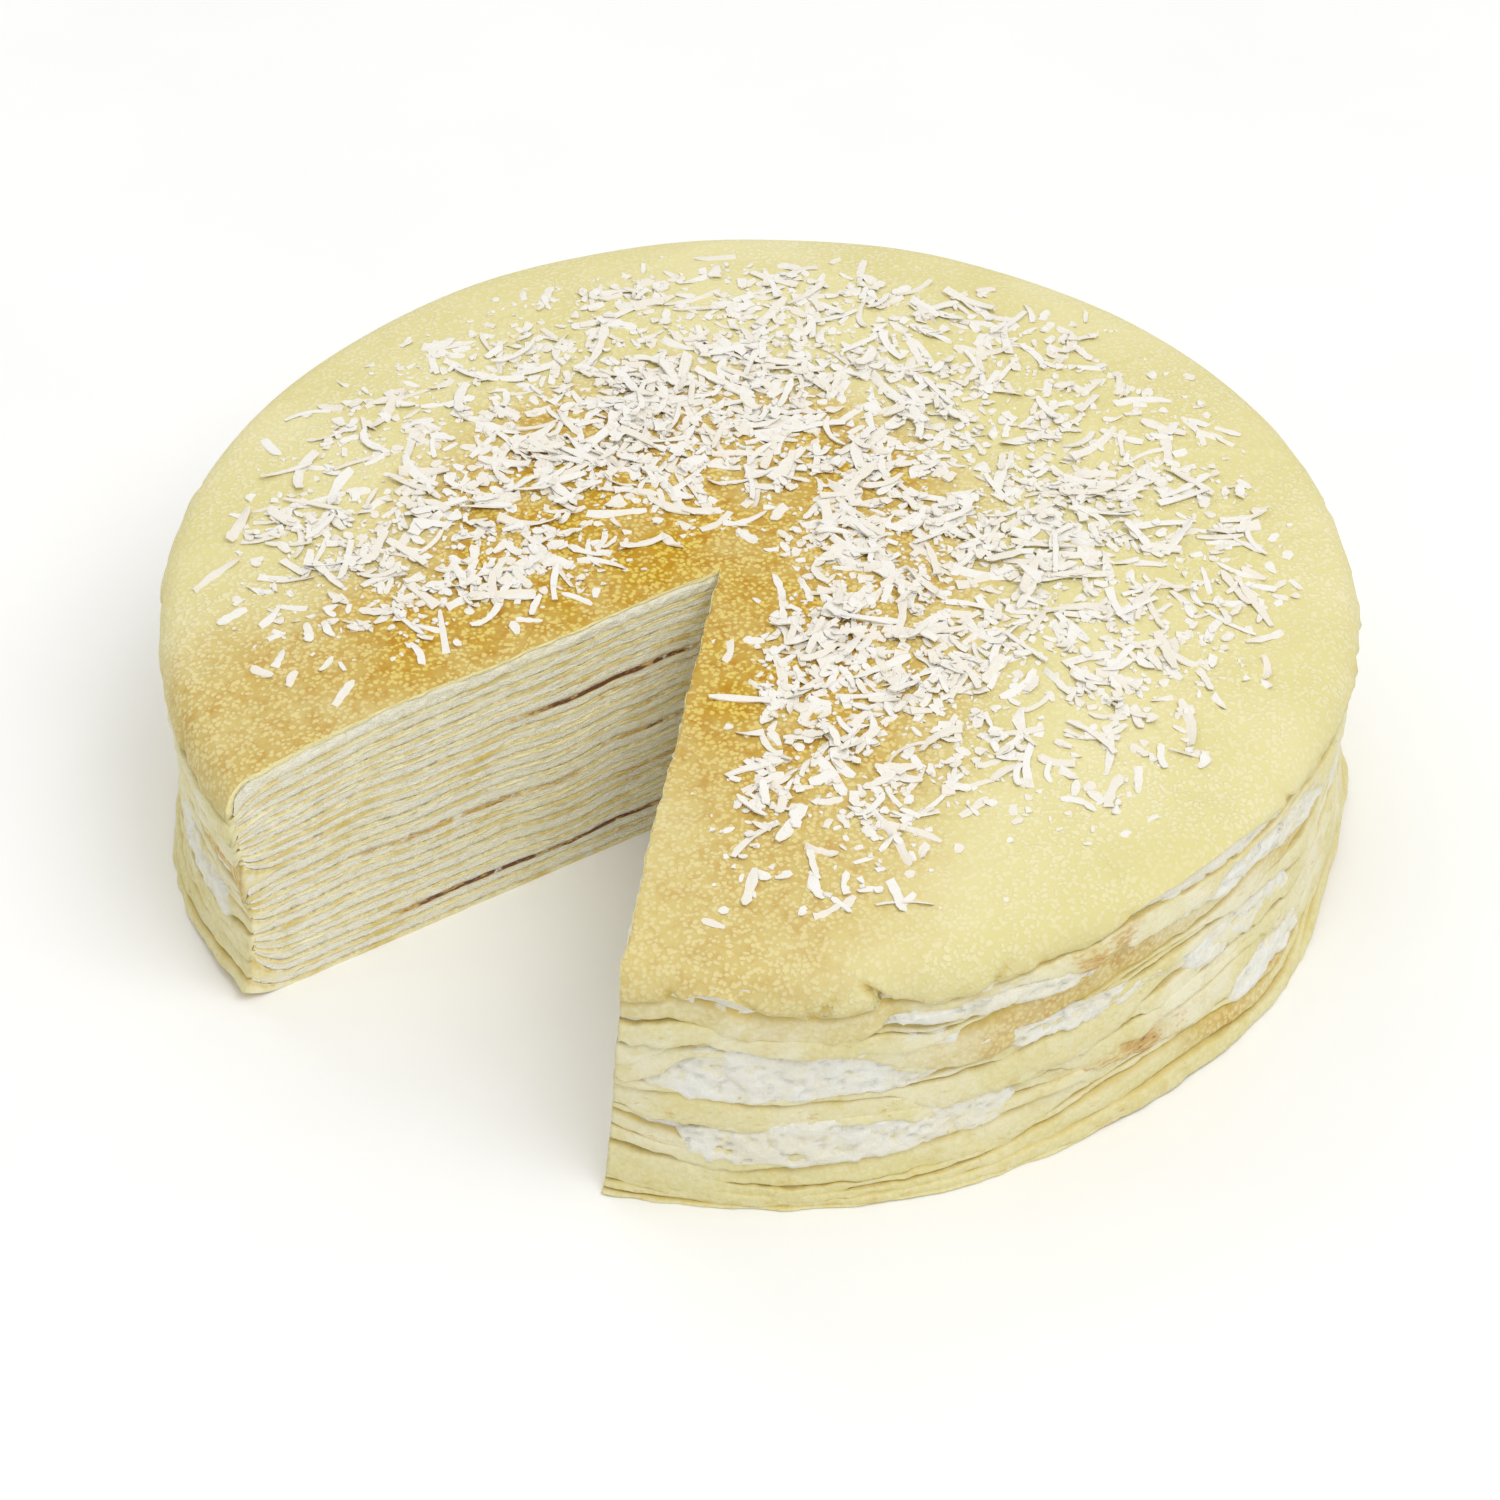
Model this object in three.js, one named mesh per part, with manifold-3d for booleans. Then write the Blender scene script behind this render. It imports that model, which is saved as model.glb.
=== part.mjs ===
// A layered crepe cake with one slice taken out, in millimetres, +Z up, origin under the cake's axis.
// Twenty crepes and nineteen creams, each one closed solid; shredded coconut is fused to the top crepe.
import * as THREE from "three";
import Module from "manifold-3d";

const wasm = await Module();
wasm.setup();

// Whole cake
const CREPES = 20;
const LAYERS = 2 * CREPES - 1;
const CAKE_RADIUS = 115;
const TOP_HEIGHT = 57.3;
const DOME_RISE = 0.7;
const DROOP_START = 72;
const DROOP_DEPTH = 3.1;
const DROOP_SPAN = 40;
const CREPE_THICKNESS = 1.15;
const CREAM_THICKNESS = 1.79;
const TOP_CREAM_EXTRA = 1.1;
const LAYER_GAP = 0.1;

// The slice taken out: its tip, and the directions of its two cut faces
const TIP_X = -6.9;
const TIP_Y = -4.7;
const LEFT_CUT_DEG = 212.4;
const RIGHT_CUT_DEG = 260.7;
const RIGHT_CUT_LEAN_DEG = 2.3;

// Side of the cake
const WAIST_INSET = 2.2;
const FOOT_FLARE = 1.6;
const RIM_ZONE = 9;
const SHOULDER_WIDTH = 6;
const DRAPE_THICKNESS = 1.2;
const LEAST_EDGE = 0.4;

// Grid of each layer
const SECTORS = 28;
const POLE = 0;

// Coconut pieces on the top
const COCONUT_COUNT = 128;
const COCONUT_SINK = 0.4;
const COCONUT_THICKNESS = 1.1;
const COCONUT_TRIES = 60;

const TURN = 2 * Math.PI;
const rad = (deg) => (deg * Math.PI) / 180;

// A fixed pseudo-random number from 0 to 1 for a pair of whole numbers.
function hash(a, b) {
  const s = Math.sin(a * 12.9898 + b * 78.233) * 43758.5453;
  return s - Math.floor(s);
}

function seeded(seed) {
  let state = seed >>> 0;
  return () => {
    state = (state + 0x6d2b79f5) >>> 0;
    let t = state;
    t = Math.imul(t ^ (t >>> 15), t | 1);
    t ^= t + Math.imul(t ^ (t >>> 7), t | 61);
    return ((t ^ (t >>> 14)) >>> 0) / 4294967296;
  };
}

// Smooth hump of height 1 at its centre, falling to 0 at one width to each side; angles in degrees.
function hump(deg, centre, width) {
  const away = Math.abs(((deg - centre + 540) % 360) - 180) / width;
  return away >= 1 ? 0 : (0.5 + 0.5 * Math.cos(Math.PI * away)) ** 0.6;
}

// Unevenness of layer i around the cake, about -1 to 1.
function aroundNoise(i, theta) {
  let sum = 0;
  for (const m of [2, 3, 5, 8])
    sum += Math.cos(m * theta + TURN * hash(i, m));
  return sum / 2.2;
}

// Unevenness of layer i across the cake, about -1 to 1.
function acrossNoise(i, x, y) {
  let sum = 0;
  for (let q = 1; q <= 4; q += 1) {
    const heading = TURN * hash(i, 20 + q);
    const wave = TURN / (22 + 24 * q);
    const along = x * Math.cos(heading) + y * Math.sin(heading);
    sum += Math.sin(wave * along + TURN * hash(i, 40 + q));
  }
  return sum / 2.2;
}

// Height of the cake's top above the base, without its rounded shoulder.
function topHeight(x, y) {
  const r = Math.hypot(x, y);
  const past = Math.max(0, r - DROOP_START) / DROOP_SPAN;
  const wave = 0.35 * acrossNoise(101, x, y);
  return TOP_HEIGHT + DOME_RISE * (1 - (r / CAKE_RADIUS) ** 2) - DROOP_DEPTH * past ** 2 + wave;
}

// Heights of all the boundaries between layers at one point of the cake's inside, base first.
function innerHeights(x, y) {
  const steps = [];
  for (let i = 0; i < LAYERS; i += 1) {
    const n = acrossNoise(i, x, y);
    let thick = i % 2 === 0 ? CREPE_THICKNESS * (1 + 0.1 * n) : CREAM_THICKNESS * (1 + 0.34 * n);
    if (i === LAYERS - 2) thick += TOP_CREAM_EXTRA;
    steps.push(thick);
  }
  const total = steps.reduce((a, b) => a + b, 0);
  const scale = topHeight(x, y) / total;
  const heights = [0];
  for (const step of steps) heights.push(heights[heights.length - 1] + step * scale);
  return heights;
}

// Bands that stand out on the side: layer, direction and half width in degrees, height in mm.
const BANDS = [
  [25, 272, 17, 9.5],
  [15, 273, 18, 5.5],
  [20, 268, 26, 3.8],
  [36, 271, 26, 4.2],
  [30, 300, 24, 7.5],
  [35, 286, 9, 3.2],
  [37, 318, 14, 4.5],
  [28, 330, 14, 5.5],
  [22, 306, 22, 3.2],
  [23, 328, 9, 2.8],
  [8, 284, 30, 4.2],
  [4, 312, 22, 4.0],
  [9, 326, 9, 4.0],
  [12, 318, 16, 3.0],
  [20, 208, 18, 5.5],
  [19, 206, 12, 2.0],
  [32, 196, 22, 4.5],
  [12, 200, 20, 4.0],
  [2, 205, 22, 3.6],
  [26, 20, 26, 5.0],
  [18, 62, 24, 5.2],
  [31, 95, 16, 5.0],
  [10, 120, 28, 5.2],
  [28, 150, 24, 5.0],
  [7, 20, 18, 3.4],
];

// Lower edge of the top crepe where it hangs over the side.
function drapeEdge(theta) {
  const deg = (theta * 180) / Math.PI;
  let z = 47.4 + 1.2 * aroundNoise(102, theta);
  z += 3.6 * hump(deg, 316, 16);
  z += 2.2 * hump(deg, 264, 5);
  z += 1.4 * hump(deg, 282, 4);
  return z;
}

// How far the bottom crepe's edge lifts off the plate.
function footLift(theta) {
  const deg = (theta * 180) / Math.PI;
  const wave = 0.5 - 0.5 * Math.cos(10.6 * (theta - rad(275)));
  const lift = 2.6 * wave * (0.55 + 0.45 * Math.cos(3 * theta + 1.1));
  return Math.max(0, lift) * (1 - 0.6 * hump(deg, 275, 8));
}

// Heights of the boundaries at the cake's outer edge, from the foot to the hanging edge of the top crepe.
function edgeHeights(theta) {
  const deg = (theta * 180) / Math.PI;
  const count = LAYERS - 1;
  const low = footLift(theta);
  const high = drapeEdge(theta);
  const extra = new Array(count).fill(0);
  for (const [i, centre, width, mm] of BANDS) extra[i] += mm * hump(deg, centre, width);
  const shares = extra.map((_, i) => (i % 2 === 0 ? 1.5 : 0.5) * Math.exp(1.1 * aroundNoise(i, theta)));
  const sharesTotal = shares.reduce((a, b) => a + b, 0);
  const room = high - low - count * LEAST_EDGE;
  const asked = extra.reduce((a, b) => a + b, 0);
  const grant = Math.min(1, (0.9 * room) / Math.max(asked, 1e-6));
  const rest = room - asked * grant;
  const heights = [low];
  for (let i = 0; i < count; i += 1) {
    const step = LEAST_EDGE + extra[i] * grant + (rest * shares[i]) / sharesTotal;
    heights.push(heights[i] + step);
  }
  return heights;
}

// Radius of the side at a height.
function sideRadius(theta, z) {
  const up = z / 50;
  const waist = WAIST_INSET * Math.sin(Math.PI * Math.min(1, Math.max(0, up))) ** 0.8;
  const foot = FOOT_FLARE * Math.exp(-z / 4);
  const uneven = 0.45 * Math.cos(5 * theta + 0.7) + 0.35 * Math.cos(9 * theta + 0.11 * z);
  return CAKE_RADIUS - 0.6 - waist + foot + uneven;
}

// The direction of sector line s at a boundary whose mean height is z.
function lineDirection(s, z) {
  const lean = RIGHT_CUT_LEAN_DEG * (1 - z / TOP_HEIGHT);
  const from = RIGHT_CUT_DEG - lean;
  const to = LEFT_CUT_DEG + 360;
  return rad(from + ((to - from) * s) / SECTORS);
}

// Where a line from the slice's tip in a direction meets a circle about the cake's axis.
function reachOf(direction, radius) {
  const along = TIP_X * Math.cos(direction) + TIP_Y * Math.sin(direction);
  const square = TIP_X ** 2 + TIP_Y ** 2;
  return -along + Math.sqrt(along ** 2 - square + radius ** 2);
}

const pointAt = (direction, reach) => [
  TIP_X + reach * Math.cos(direction),
  TIP_Y + reach * Math.sin(direction),
];

// One line of a boundary surface from the tip to the edge, as points [x, y, z]; the first is the tip.
function boundaryLine(j, s) {
  const meanZ = (TOP_HEIGHT * j) / LAYERS;
  const direction = lineDirection(s, meanZ);
  const isTop = j === LAYERS;
  const isUnderTop = j === LAYERS - 1;
  const tip = [TIP_X, TIP_Y, innerHeights(TIP_X, TIP_Y)[j]];
  const line = [tip];
  const nominal = pointAt(direction, reachOf(direction, CAKE_RADIUS));
  const theta = Math.atan2(nominal[1], nominal[0]);
  const edges = edgeHeights(theta);
  const lift = edges[0];
  if (isTop || isUnderTop) {
    const inset = isTop ? 0 : DRAPE_THICKNESS;
    const edgeZ = edges[LAYERS - 1];
    const outer = CAKE_RADIUS + 0.25 * Math.cos(5 * theta + 0.7) - inset;
    const width = SHOULDER_WIDTH - inset;
    const shares = isTop ? [0.32, 0.6, 0.8] : [0.6];
    const reachIn = reachOf(direction, outer - width);
    for (const share of shares) {
      const [x, y] = pointAt(direction, reachIn * share);
      line.push([x, y, innerHeights(x, y)[j]]);
    }
    for (const t of isTop ? [0, 0.5, 0.85, 1] : [0, 0.7, 1]) {
      const [x, y] = pointAt(direction, reachOf(direction, outer - width * (1 - t)));
      const inside = innerHeights(x, y)[j];
      line.push([x, y, inside - (inside - edgeZ) * (1 - Math.sqrt(1 - t * t))]);
    }
    return line;
  }
  const edgeZ = edges[j];
  const under = j === 0 ? lift : edgeZ;
  const outer = Math.min(sideRadius(theta, under), CAKE_RADIUS - (j > LAYERS - 5 ? DRAPE_THICKNESS + 0.1 : 0));
  const inner = pointAt(direction, reachOf(direction, outer - RIM_ZONE));
  line.push([inner[0], inner[1], innerHeights(inner[0], inner[1])[j]]);
  const rim = pointAt(direction, reachOf(direction, outer));
  line.push([rim[0], rim[1], under]);
  return line;
}

// A boundary as SECTORS + 1 lines, moved up or down by half the gap between layers.
function boundary(j, shift) {
  const lines = [];
  for (let s = 0; s <= SECTORS; s += 1)
    lines.push(boundaryLine(j, s).map(([x, y, z]) => [x, y, z + shift]));
  return lines;
}

// Closed solid between a lower and an upper boundary.
function layerGeometry(lower, upper) {
  const positions = [];
  const faces = [];
  const put = (p) => positions.push(p[0], p[1], p[2]) / 3 - 1;
  const number = (lines) => {
    const tip = put(lines[0][POLE]);
    return lines.map((line) => line.map((p, k) => (k === POLE ? tip : put(p))));
  };
  const low = number(lower);
  const up = number(upper);
  const sheet = (grid, facesUp) => {
    const add = (a, b, c) => faces.push(facesUp ? [a, b, c] : [a, c, b]);
    for (let s = 0; s < SECTORS; s += 1) {
      const a = grid[s];
      const b = grid[s + 1];
      add(a[POLE], a[1], b[1]);
      for (let k = 1; k < a.length - 1; k += 1) {
        add(a[k], a[k + 1], b[k + 1]);
        add(a[k], b[k + 1], b[k]);
      }
    }
  };
  sheet(up, true);
  sheet(low, false);
  for (let s = 0; s < SECTORS; s += 1) {
    const [a, b] = [low[s].at(-1), low[s + 1].at(-1)];
    const [c, d] = [up[s + 1].at(-1), up[s].at(-1)];
    faces.push([a, b, c], [a, c, d]);
  }
  cutFace(low[0], up[0], lower[0], upper[0], false);
  cutFace(low[SECTORS], up[SECTORS], lower[SECTORS], upper[SECTORS], true);

  // Joins two lines of a cut face, walking outwards along whichever is behind.
  function cutFace(lowIds, upIds, lowPoints, upPoints, turned) {
    const far = (p) => Math.hypot(p[0] - TIP_X, p[1] - TIP_Y);
    let a = 0;
    let b = 0;
    while (a < lowIds.length - 1 || b < upIds.length - 1) {
      const takeLow =
        b === upIds.length - 1 || (a < lowIds.length - 1 && far(lowPoints[a + 1]) <= far(upPoints[b + 1]));
      const tri = takeLow ? [lowIds[a], lowIds[a + 1], upIds[b]] : [lowIds[a], upIds[b + 1], upIds[b]];
      faces.push(turned ? [tri[0], tri[2], tri[1]] : tri);
      if (takeLow) a += 1;
      else b += 1;
    }
  }

  const geometry = new THREE.BufferGeometry();
  geometry.setAttribute("position", new THREE.Float32BufferAttribute(positions, 3));
  geometry.setIndex(faces.flat());
  return geometry;
}

function solidOf(geometry) {
  return new wasm.Manifold(
    new wasm.Mesh({
      numProp: 3,
      vertProperties: new Float32Array(geometry.getAttribute("position").array),
      triVerts: new Uint32Array(geometry.index.array),
    }),
  );
}

function geometryOf(solid) {
  const mesh = solid.getMesh();
  const positions = new Float32Array(mesh.numVert * 3);
  for (let v = 0; v < mesh.numVert; v += 1)
    positions.set(mesh.vertProperties.subarray(v * mesh.numProp, v * mesh.numProp + 3), v * 3);
  const geometry = new THREE.BufferGeometry();
  geometry.setAttribute("position", new THREE.BufferAttribute(positions, 3));
  geometry.setIndex(new THREE.BufferAttribute(new Uint32Array(mesh.triVerts), 1));
  return geometry;
}

// Height of the faceted top at a point, found on the triangle over it.
function facetHeight(lines, x, y) {
  for (let s = 0; s < SECTORS; s += 1)
    for (let k = 0; k < lines[s].length - 1; k += 1) {
      const corners = [lines[s][k], lines[s][k + 1], lines[s + 1][k + 1], lines[s + 1][k]];
      for (const [a, b, c] of [
        [corners[0], corners[1], corners[2]],
        [corners[0], corners[2], corners[3]],
      ]) {
        const det = (b[1] - c[1]) * (a[0] - c[0]) + (c[0] - b[0]) * (a[1] - c[1]);
        if (Math.abs(det) < 1e-9) continue;
        const u = ((b[1] - c[1]) * (x - c[0]) + (c[0] - b[0]) * (y - c[1])) / det;
        const v = ((c[1] - a[1]) * (x - c[0]) + (a[0] - c[0]) * (y - c[1])) / det;
        if (u >= -1e-6 && v >= -1e-6 && u + v <= 1 + 1e-6) return u * a[2] + v * b[2] + (1 - u - v) * c[2];
      }
    }
  return null;
}

// Where the top is sprinkled, from 0 (bare) to 1 (thick), with bare strips along the two cuts.
function sprinkled(x, y) {
  const r = Math.hypot(x, y);
  const blob = (cx, cy, rx, ry, turnDeg) => {
    const c = Math.cos(rad(turnDeg));
    const s = Math.sin(rad(turnDeg));
    const u = ((x - cx) * c + (y - cy) * s) / rx;
    const v = (-(x - cx) * s + (y - cy) * c) / ry;
    return Math.exp(-(u * u + v * v));
  };
  const cover =
    0.95 * blob(-62, 8, 34, 24, 10) +
    0.9 * blob(14, 18, 40, 26, 0) +
    0.7 * blob(20, -28, 26, 34, 0) +
    0.65 * blob(10, 62, 60, 26, 0) +
    0.45 * blob(62, 20, 30, 50, 0);
  const rimFade = Math.min(1, Math.max(0, (103 - r) / 14));
  return Math.min(1, cover) * rimFade * cutClearance(x, y);
}

// 0 within 5 mm of a cut face, rising to 1 over the next 10 mm.
function cutClearance(x, y) {
  let least = Infinity;
  for (const deg of [LEFT_CUT_DEG, RIGHT_CUT_DEG]) {
    const dx = Math.cos(rad(deg));
    const dy = Math.sin(rad(deg));
    const along = Math.max(0, (x - TIP_X) * dx + (y - TIP_Y) * dy);
    least = Math.min(least, Math.hypot(x - TIP_X - along * dx, y - TIP_Y - along * dy));
  }
  return Math.min(1, Math.max(0, (least - 5) / 10));
}

// A bent strip of coconut along three stations, resting in the surface below it.
function coconutPiece(lines, spot) {
  const { x, y, turn, length, width, bend, curl } = spot;
  const positions = [];
  const faces = [];
  const stations = [-1, 0, 1];
  stations.forEach((side) => {
    const heading = turn + side * bend;
    const cx = x + side * 0.5 * length * Math.cos(turn + side * 0.5 * bend);
    const cy = y + side * 0.5 * length * Math.sin(turn + side * 0.5 * bend);
    const w = 0.5 * width * (side === 0 ? 1 : 0.62);
    const nx = -Math.sin(heading);
    const ny = Math.cos(heading);
    const rise = side === 1 ? curl : 0;
    for (const across of [-1, 1]) {
      const px = cx + across * w * nx;
      const py = cy + across * w * ny;
      const ground = facetHeight(lines, px, py);
      positions.push(px, py, ground - COCONUT_SINK + rise);
      positions.push(px, py, ground - COCONUT_SINK + rise + COCONUT_THICKNESS * (side === 0 ? 1 : 0.8));
    }
  });
  // Corner order at each station: left low, left high, right low, right high.
  const quad = (a, b, c, d) => faces.push([a, b, c], [a, c, d]);
  for (const at of [0, 4]) {
    quad(at + 1, at, at + 4, at + 5);
    quad(at + 2, at + 3, at + 7, at + 6);
    quad(at + 3, at + 1, at + 5, at + 7);
    quad(at, at + 2, at + 6, at + 4);
  }
  quad(0, 1, 3, 2);
  quad(9, 8, 10, 11);
  const geometry = new THREE.BufferGeometry();
  geometry.setAttribute("position", new THREE.Float32BufferAttribute(positions, 3));
  geometry.setIndex(faces.flat());
  const solid = solidOf(geometry);
  return solid.volume() > 0 ? solid : solidOf(turnedOver(geometry));
}

function turnedOver(geometry) {
  const index = Array.from(geometry.index.array);
  for (let i = 0; i < index.length; i += 3) [index[i + 1], index[i + 2]] = [index[i + 2], index[i + 1]];
  const turned = geometry.clone();
  turned.setIndex(index);
  return turned;
}

// Spots for the coconut, each the farthest from its fellows out of several random tries, largest first.
function coconutSpots() {
  const random = seeded(41);
  const spots = [];
  for (let n = 0; n < COCONUT_COUNT; n += 1) {
    let best = null;
    for (let tries = 0; tries < COCONUT_TRIES; tries += 1) {
      const x = -100 + 205 * random();
      const y = -100 + 205 * random();
      const cover = sprinkled(x, y);
      if (cover < 0.16) continue;
      let near = 60;
      for (const other of spots) near = Math.min(near, Math.hypot(x - other.x, y - other.y));
      const score = near * (0.35 + cover);
      if (near > 4 && (!best || score > best.score)) best = { x, y, score };
    }
    if (!best) continue;
    const size = 1 - n / COCONUT_COUNT;
    spots.push({
      x: best.x,
      y: best.y,
      turn: TURN * random(),
      length: 7 + 6 * size,
      width: 2 + 1.2 * random(),
      bend: 0.9 * (random() - 0.5),
      curl: random() < 0.3 ? 1.2 : 0,
    });
  }
  return spots;
}

const crepeMaterial = new THREE.MeshStandardMaterial({ color: 0xe8dcae, roughness: 0.7, metalness: 0 });
const creamMaterial = new THREE.MeshStandardMaterial({ color: 0xf3ecda, roughness: 0.55, metalness: 0 });

const cake = new THREE.Group();
cake.name = "crepe_cake";

function addLayer(i) {
  const lower = boundary(i, i === 0 ? 0 : LAYER_GAP / 2);
  const upper = boundary(i + 1, i === LAYERS - 1 ? 0 : -LAYER_GAP / 2);
  let geometry = layerGeometry(lower, upper);
  if (i === LAYERS - 1) {
    const pieces = coconutSpots().map((spot) => coconutPiece(upper, spot));
    geometry = geometryOf(wasm.Manifold.union([solidOf(geometry), ...pieces]));
  }
  const isCrepe = i % 2 === 0;
  const mesh = new THREE.Mesh(geometry, isCrepe ? crepeMaterial : creamMaterial);
  const order = String(Math.floor(i / 2) + 1).padStart(2, "0");
  mesh.name = (isCrepe ? "crepe_" : "cream_") + order;
  cake.add(mesh);
}

for (let i = 0; i < LAYERS; i += 1) addLayer(i);

export default cake;
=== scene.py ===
# %% [markdown]
# # A crepe cake with one slice taken out
#
# Twenty thin crepes and nineteen spreads of cream lie on each other, and shredded coconut is strewn
# over the top. Each crepe and each cream here is a closed surface worked out with numpy. It stands for
# the plain solid of the same name in the imported model, which stays in the physics. It is drawn in
# place of the plain solid of the same name in the imported model, which is hidden.
# Lengths are in millimetres until a mesh is made, because a cook thinks of a crepe as 1 mm thick.

# %% Load the imported cake
import math

import bpy
import numpy as np
from mathutils import Matrix, Vector


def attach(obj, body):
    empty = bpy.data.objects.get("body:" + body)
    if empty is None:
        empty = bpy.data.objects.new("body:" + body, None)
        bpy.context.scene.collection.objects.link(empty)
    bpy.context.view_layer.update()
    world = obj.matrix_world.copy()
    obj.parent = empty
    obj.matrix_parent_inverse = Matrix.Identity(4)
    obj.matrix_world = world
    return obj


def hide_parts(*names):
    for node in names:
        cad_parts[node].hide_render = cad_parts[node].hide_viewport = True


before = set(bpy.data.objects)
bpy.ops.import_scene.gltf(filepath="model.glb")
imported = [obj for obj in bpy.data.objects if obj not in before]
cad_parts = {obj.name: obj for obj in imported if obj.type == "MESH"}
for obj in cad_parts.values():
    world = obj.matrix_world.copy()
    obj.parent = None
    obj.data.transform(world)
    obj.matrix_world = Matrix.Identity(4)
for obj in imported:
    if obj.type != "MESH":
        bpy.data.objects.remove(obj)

MM = 0.001
TURN = 2 * math.pi
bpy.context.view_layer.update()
LAYERS = len(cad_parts)

# %% [markdown]
# ## The camera
#
# The view is fitted to the cake's outlines: a long lens, 41 degrees down, turned by half a degree.
# A camera looks along its own -Z, so its axes are worked out first and then put into a matrix.

# %% Camera
CAMERA_TARGET = (-1.53, 9.9, 0.0)
CAMERA_DISTANCE = 905.9
CAMERA_ELEVATION = math.radians(40.98)
CAMERA_ROLL = math.radians(-0.45)
LENS = 108.0
SENSOR = 36.0


def add_camera():
    """Places the camera at its distance from the target along the elevation, then rolls it."""
    back = Vector((0, -math.cos(CAMERA_ELEVATION), math.sin(CAMERA_ELEVATION)))
    right = Vector((1, 0, 0))
    up = back.cross(right)
    turned_right = math.cos(CAMERA_ROLL) * right + math.sin(CAMERA_ROLL) * up
    turned_up = -math.sin(CAMERA_ROLL) * right + math.cos(CAMERA_ROLL) * up
    data = bpy.data.cameras.new("view")
    data.lens = LENS
    data.sensor_width = SENSOR
    data.clip_start = 0.01
    data.clip_end = 20
    camera = bpy.data.objects.new("view", data)
    bpy.context.scene.collection.objects.link(camera)
    place = (Vector(CAMERA_TARGET) + CAMERA_DISTANCE * back) * MM
    axes = Matrix((turned_right, turned_up, back)).transposed().to_4x4()
    camera.matrix_world = Matrix.Translation(place) @ axes
    bpy.context.scene.camera = camera
    return camera


camera = add_camera()
print("camera at", [round(v, 3) for v in camera.location])

# %% [markdown]
# ## Unevenness
#
# Food is never even. Sums of a few sine waves, with directions and phases from a fixed hash, give slow
# waves that any number of points can ask for. For fine roughness a lattice of hashed values is blended
# smoothly between its corners, which is what value noise is.

# %% Waves and noise
def hashed(a, b):
    """A fixed pseudo-random number from 0 to 1: the fraction of a large sine of the two numbers."""
    s = np.sin(a * 12.9898 + b * 78.233) * 43758.5453
    return s - np.floor(s)


def around_noise(i, theta):
    """Unevenness of layer i around the cake: four cosines of the angle with hashed phases."""
    return sum(np.cos(m * theta + TURN * hashed(i, m)) for m in (2, 3, 5, 8)) / 2.2


def across_noise(i, x, y, first=22.0, step=24.0, key=20):
    """Unevenness of layer i across the cake: four plane waves, each longer than the last."""
    total = 0.0
    for q in (1, 2, 3, 4):
        heading = TURN * hashed(i, key + q)
        along = x * np.cos(heading) + y * np.sin(heading)
        total = total + np.sin(TURN / (first + step * q) * along + TURN * hashed(i, key + 20 + q))
    return total / 2.2


def lattice_value(ix, iy, iz, seed):
    """Mixes three whole numbers and a seed into one number from -1 to 1."""
    mixed = (ix * 73856093) ^ (iy * 19349663) ^ (iz * 83492791) ^ (seed * 2654435761)
    mixed = (mixed ^ (mixed >> 13)) * 1274126177 & 0xFFFFFFFF
    mixed = (mixed ^ (mixed >> 16)) & 0xFFFFFFFF
    return mixed / 2147483648.0 - 1.0


def value_noise(x, y, z, seed):
    """Value noise from -1 to 1: eight lattice corners blended by smooth steps."""
    x, y, z = np.broadcast_arrays(*np.atleast_1d(x, y, z))
    ix, iy, iz = (np.floor(v).astype(np.int64) for v in (x, y, z))
    fx, fy, fz = x - ix, y - iy, z - iz
    fx, fy, fz = (f * f * (3 - 2 * f) for f in (fx, fy, fz))
    total = np.zeros(x.shape)
    for dx in (0, 1):
        for dy in (0, 1):
            for dz in (0, 1):
                weight = (fx if dx else 1 - fx) * (fy if dy else 1 - fy) * (fz if dz else 1 - fz)
                total += weight * lattice_value(ix + dx, iy + dy, iz + dz, seed)
    return total


def layered_noise(x, y, z, seed, octaves=3):
    """Value noise added to finer copies of itself, each twice as fine and half as strong."""
    total = 0.0
    for o in range(octaves):
        total = total + value_noise(x * 2**o, y * 2**o, z * 2**o, seed + 7 * o) / 2**o
    return total / (2 - 0.5 ** (octaves - 1))


def smooth_step(low, high, value):
    """0 below low, 1 above high, and a smooth S between them."""
    t = np.clip((value - low) / (high - low), 0, 1)
    return t * t * (3 - 2 * t)


def half_turn_range(degrees):
    """The same turn, written as a number from -180 to 180 degrees."""
    return (degrees + 540) % 360 - 180


def hump(degrees, centre, width, power=0.6):
    """A smooth hump of height 1 at its centre that reaches 0 one width to each side."""
    away = np.abs(half_turn_range(degrees - centre)) / width
    return np.where(away >= 1, 0.0, (0.5 + 0.5 * np.cos(np.pi * np.minimum(away, 1))) ** power)


print("value noise at one point:", round(float(value_noise(1.5, 2.5, 3.5, 1)[0]), 3))

# %% [markdown]
# ## The shape of the stack
#
# The stack is described by its boundaries: boundary 0 is the underside, and boundary 39 is the top.
# Inside the cake each boundary is a wavy, nearly level sheet. Towards the side it droops, and where it
# ends the next one shows below it. The driving sizes are those of the real cake.

# %% Sizes of the cake
CAKE_RADIUS = 115.0
TOP_HEIGHT = 57.3
DOME_RISE = 0.7
DROOP_START = 72.0
DROOP_DEPTH = 3.1
DROOP_SPAN = 40.0
CREPE_THICKNESS = 1.15
CREAM_THICKNESS = 1.79
TOP_CREAM_EXTRA = 1.1

TIP = np.array([-6.9, -4.7])
LEFT_CUT = math.radians(212.4)
RIGHT_CUT = math.radians(260.7)
RIGHT_CUT_LEAN = math.radians(2.3)

WAIST_INSET = 2.2
FOOT_FLARE = 1.6
FOOT_RUFFLE = 2.6
LEAST_EDGE = 0.4
# Over this width in from the side the boundaries droop to their edges.
RIM_ZONE = 8.0
SHOULDER_WIDTH = 6.0
SHOULDER_POWER = 2.5
DRAPE_THICKNESS = 1.2
DRAPE_EDGE = 47.4
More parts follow.
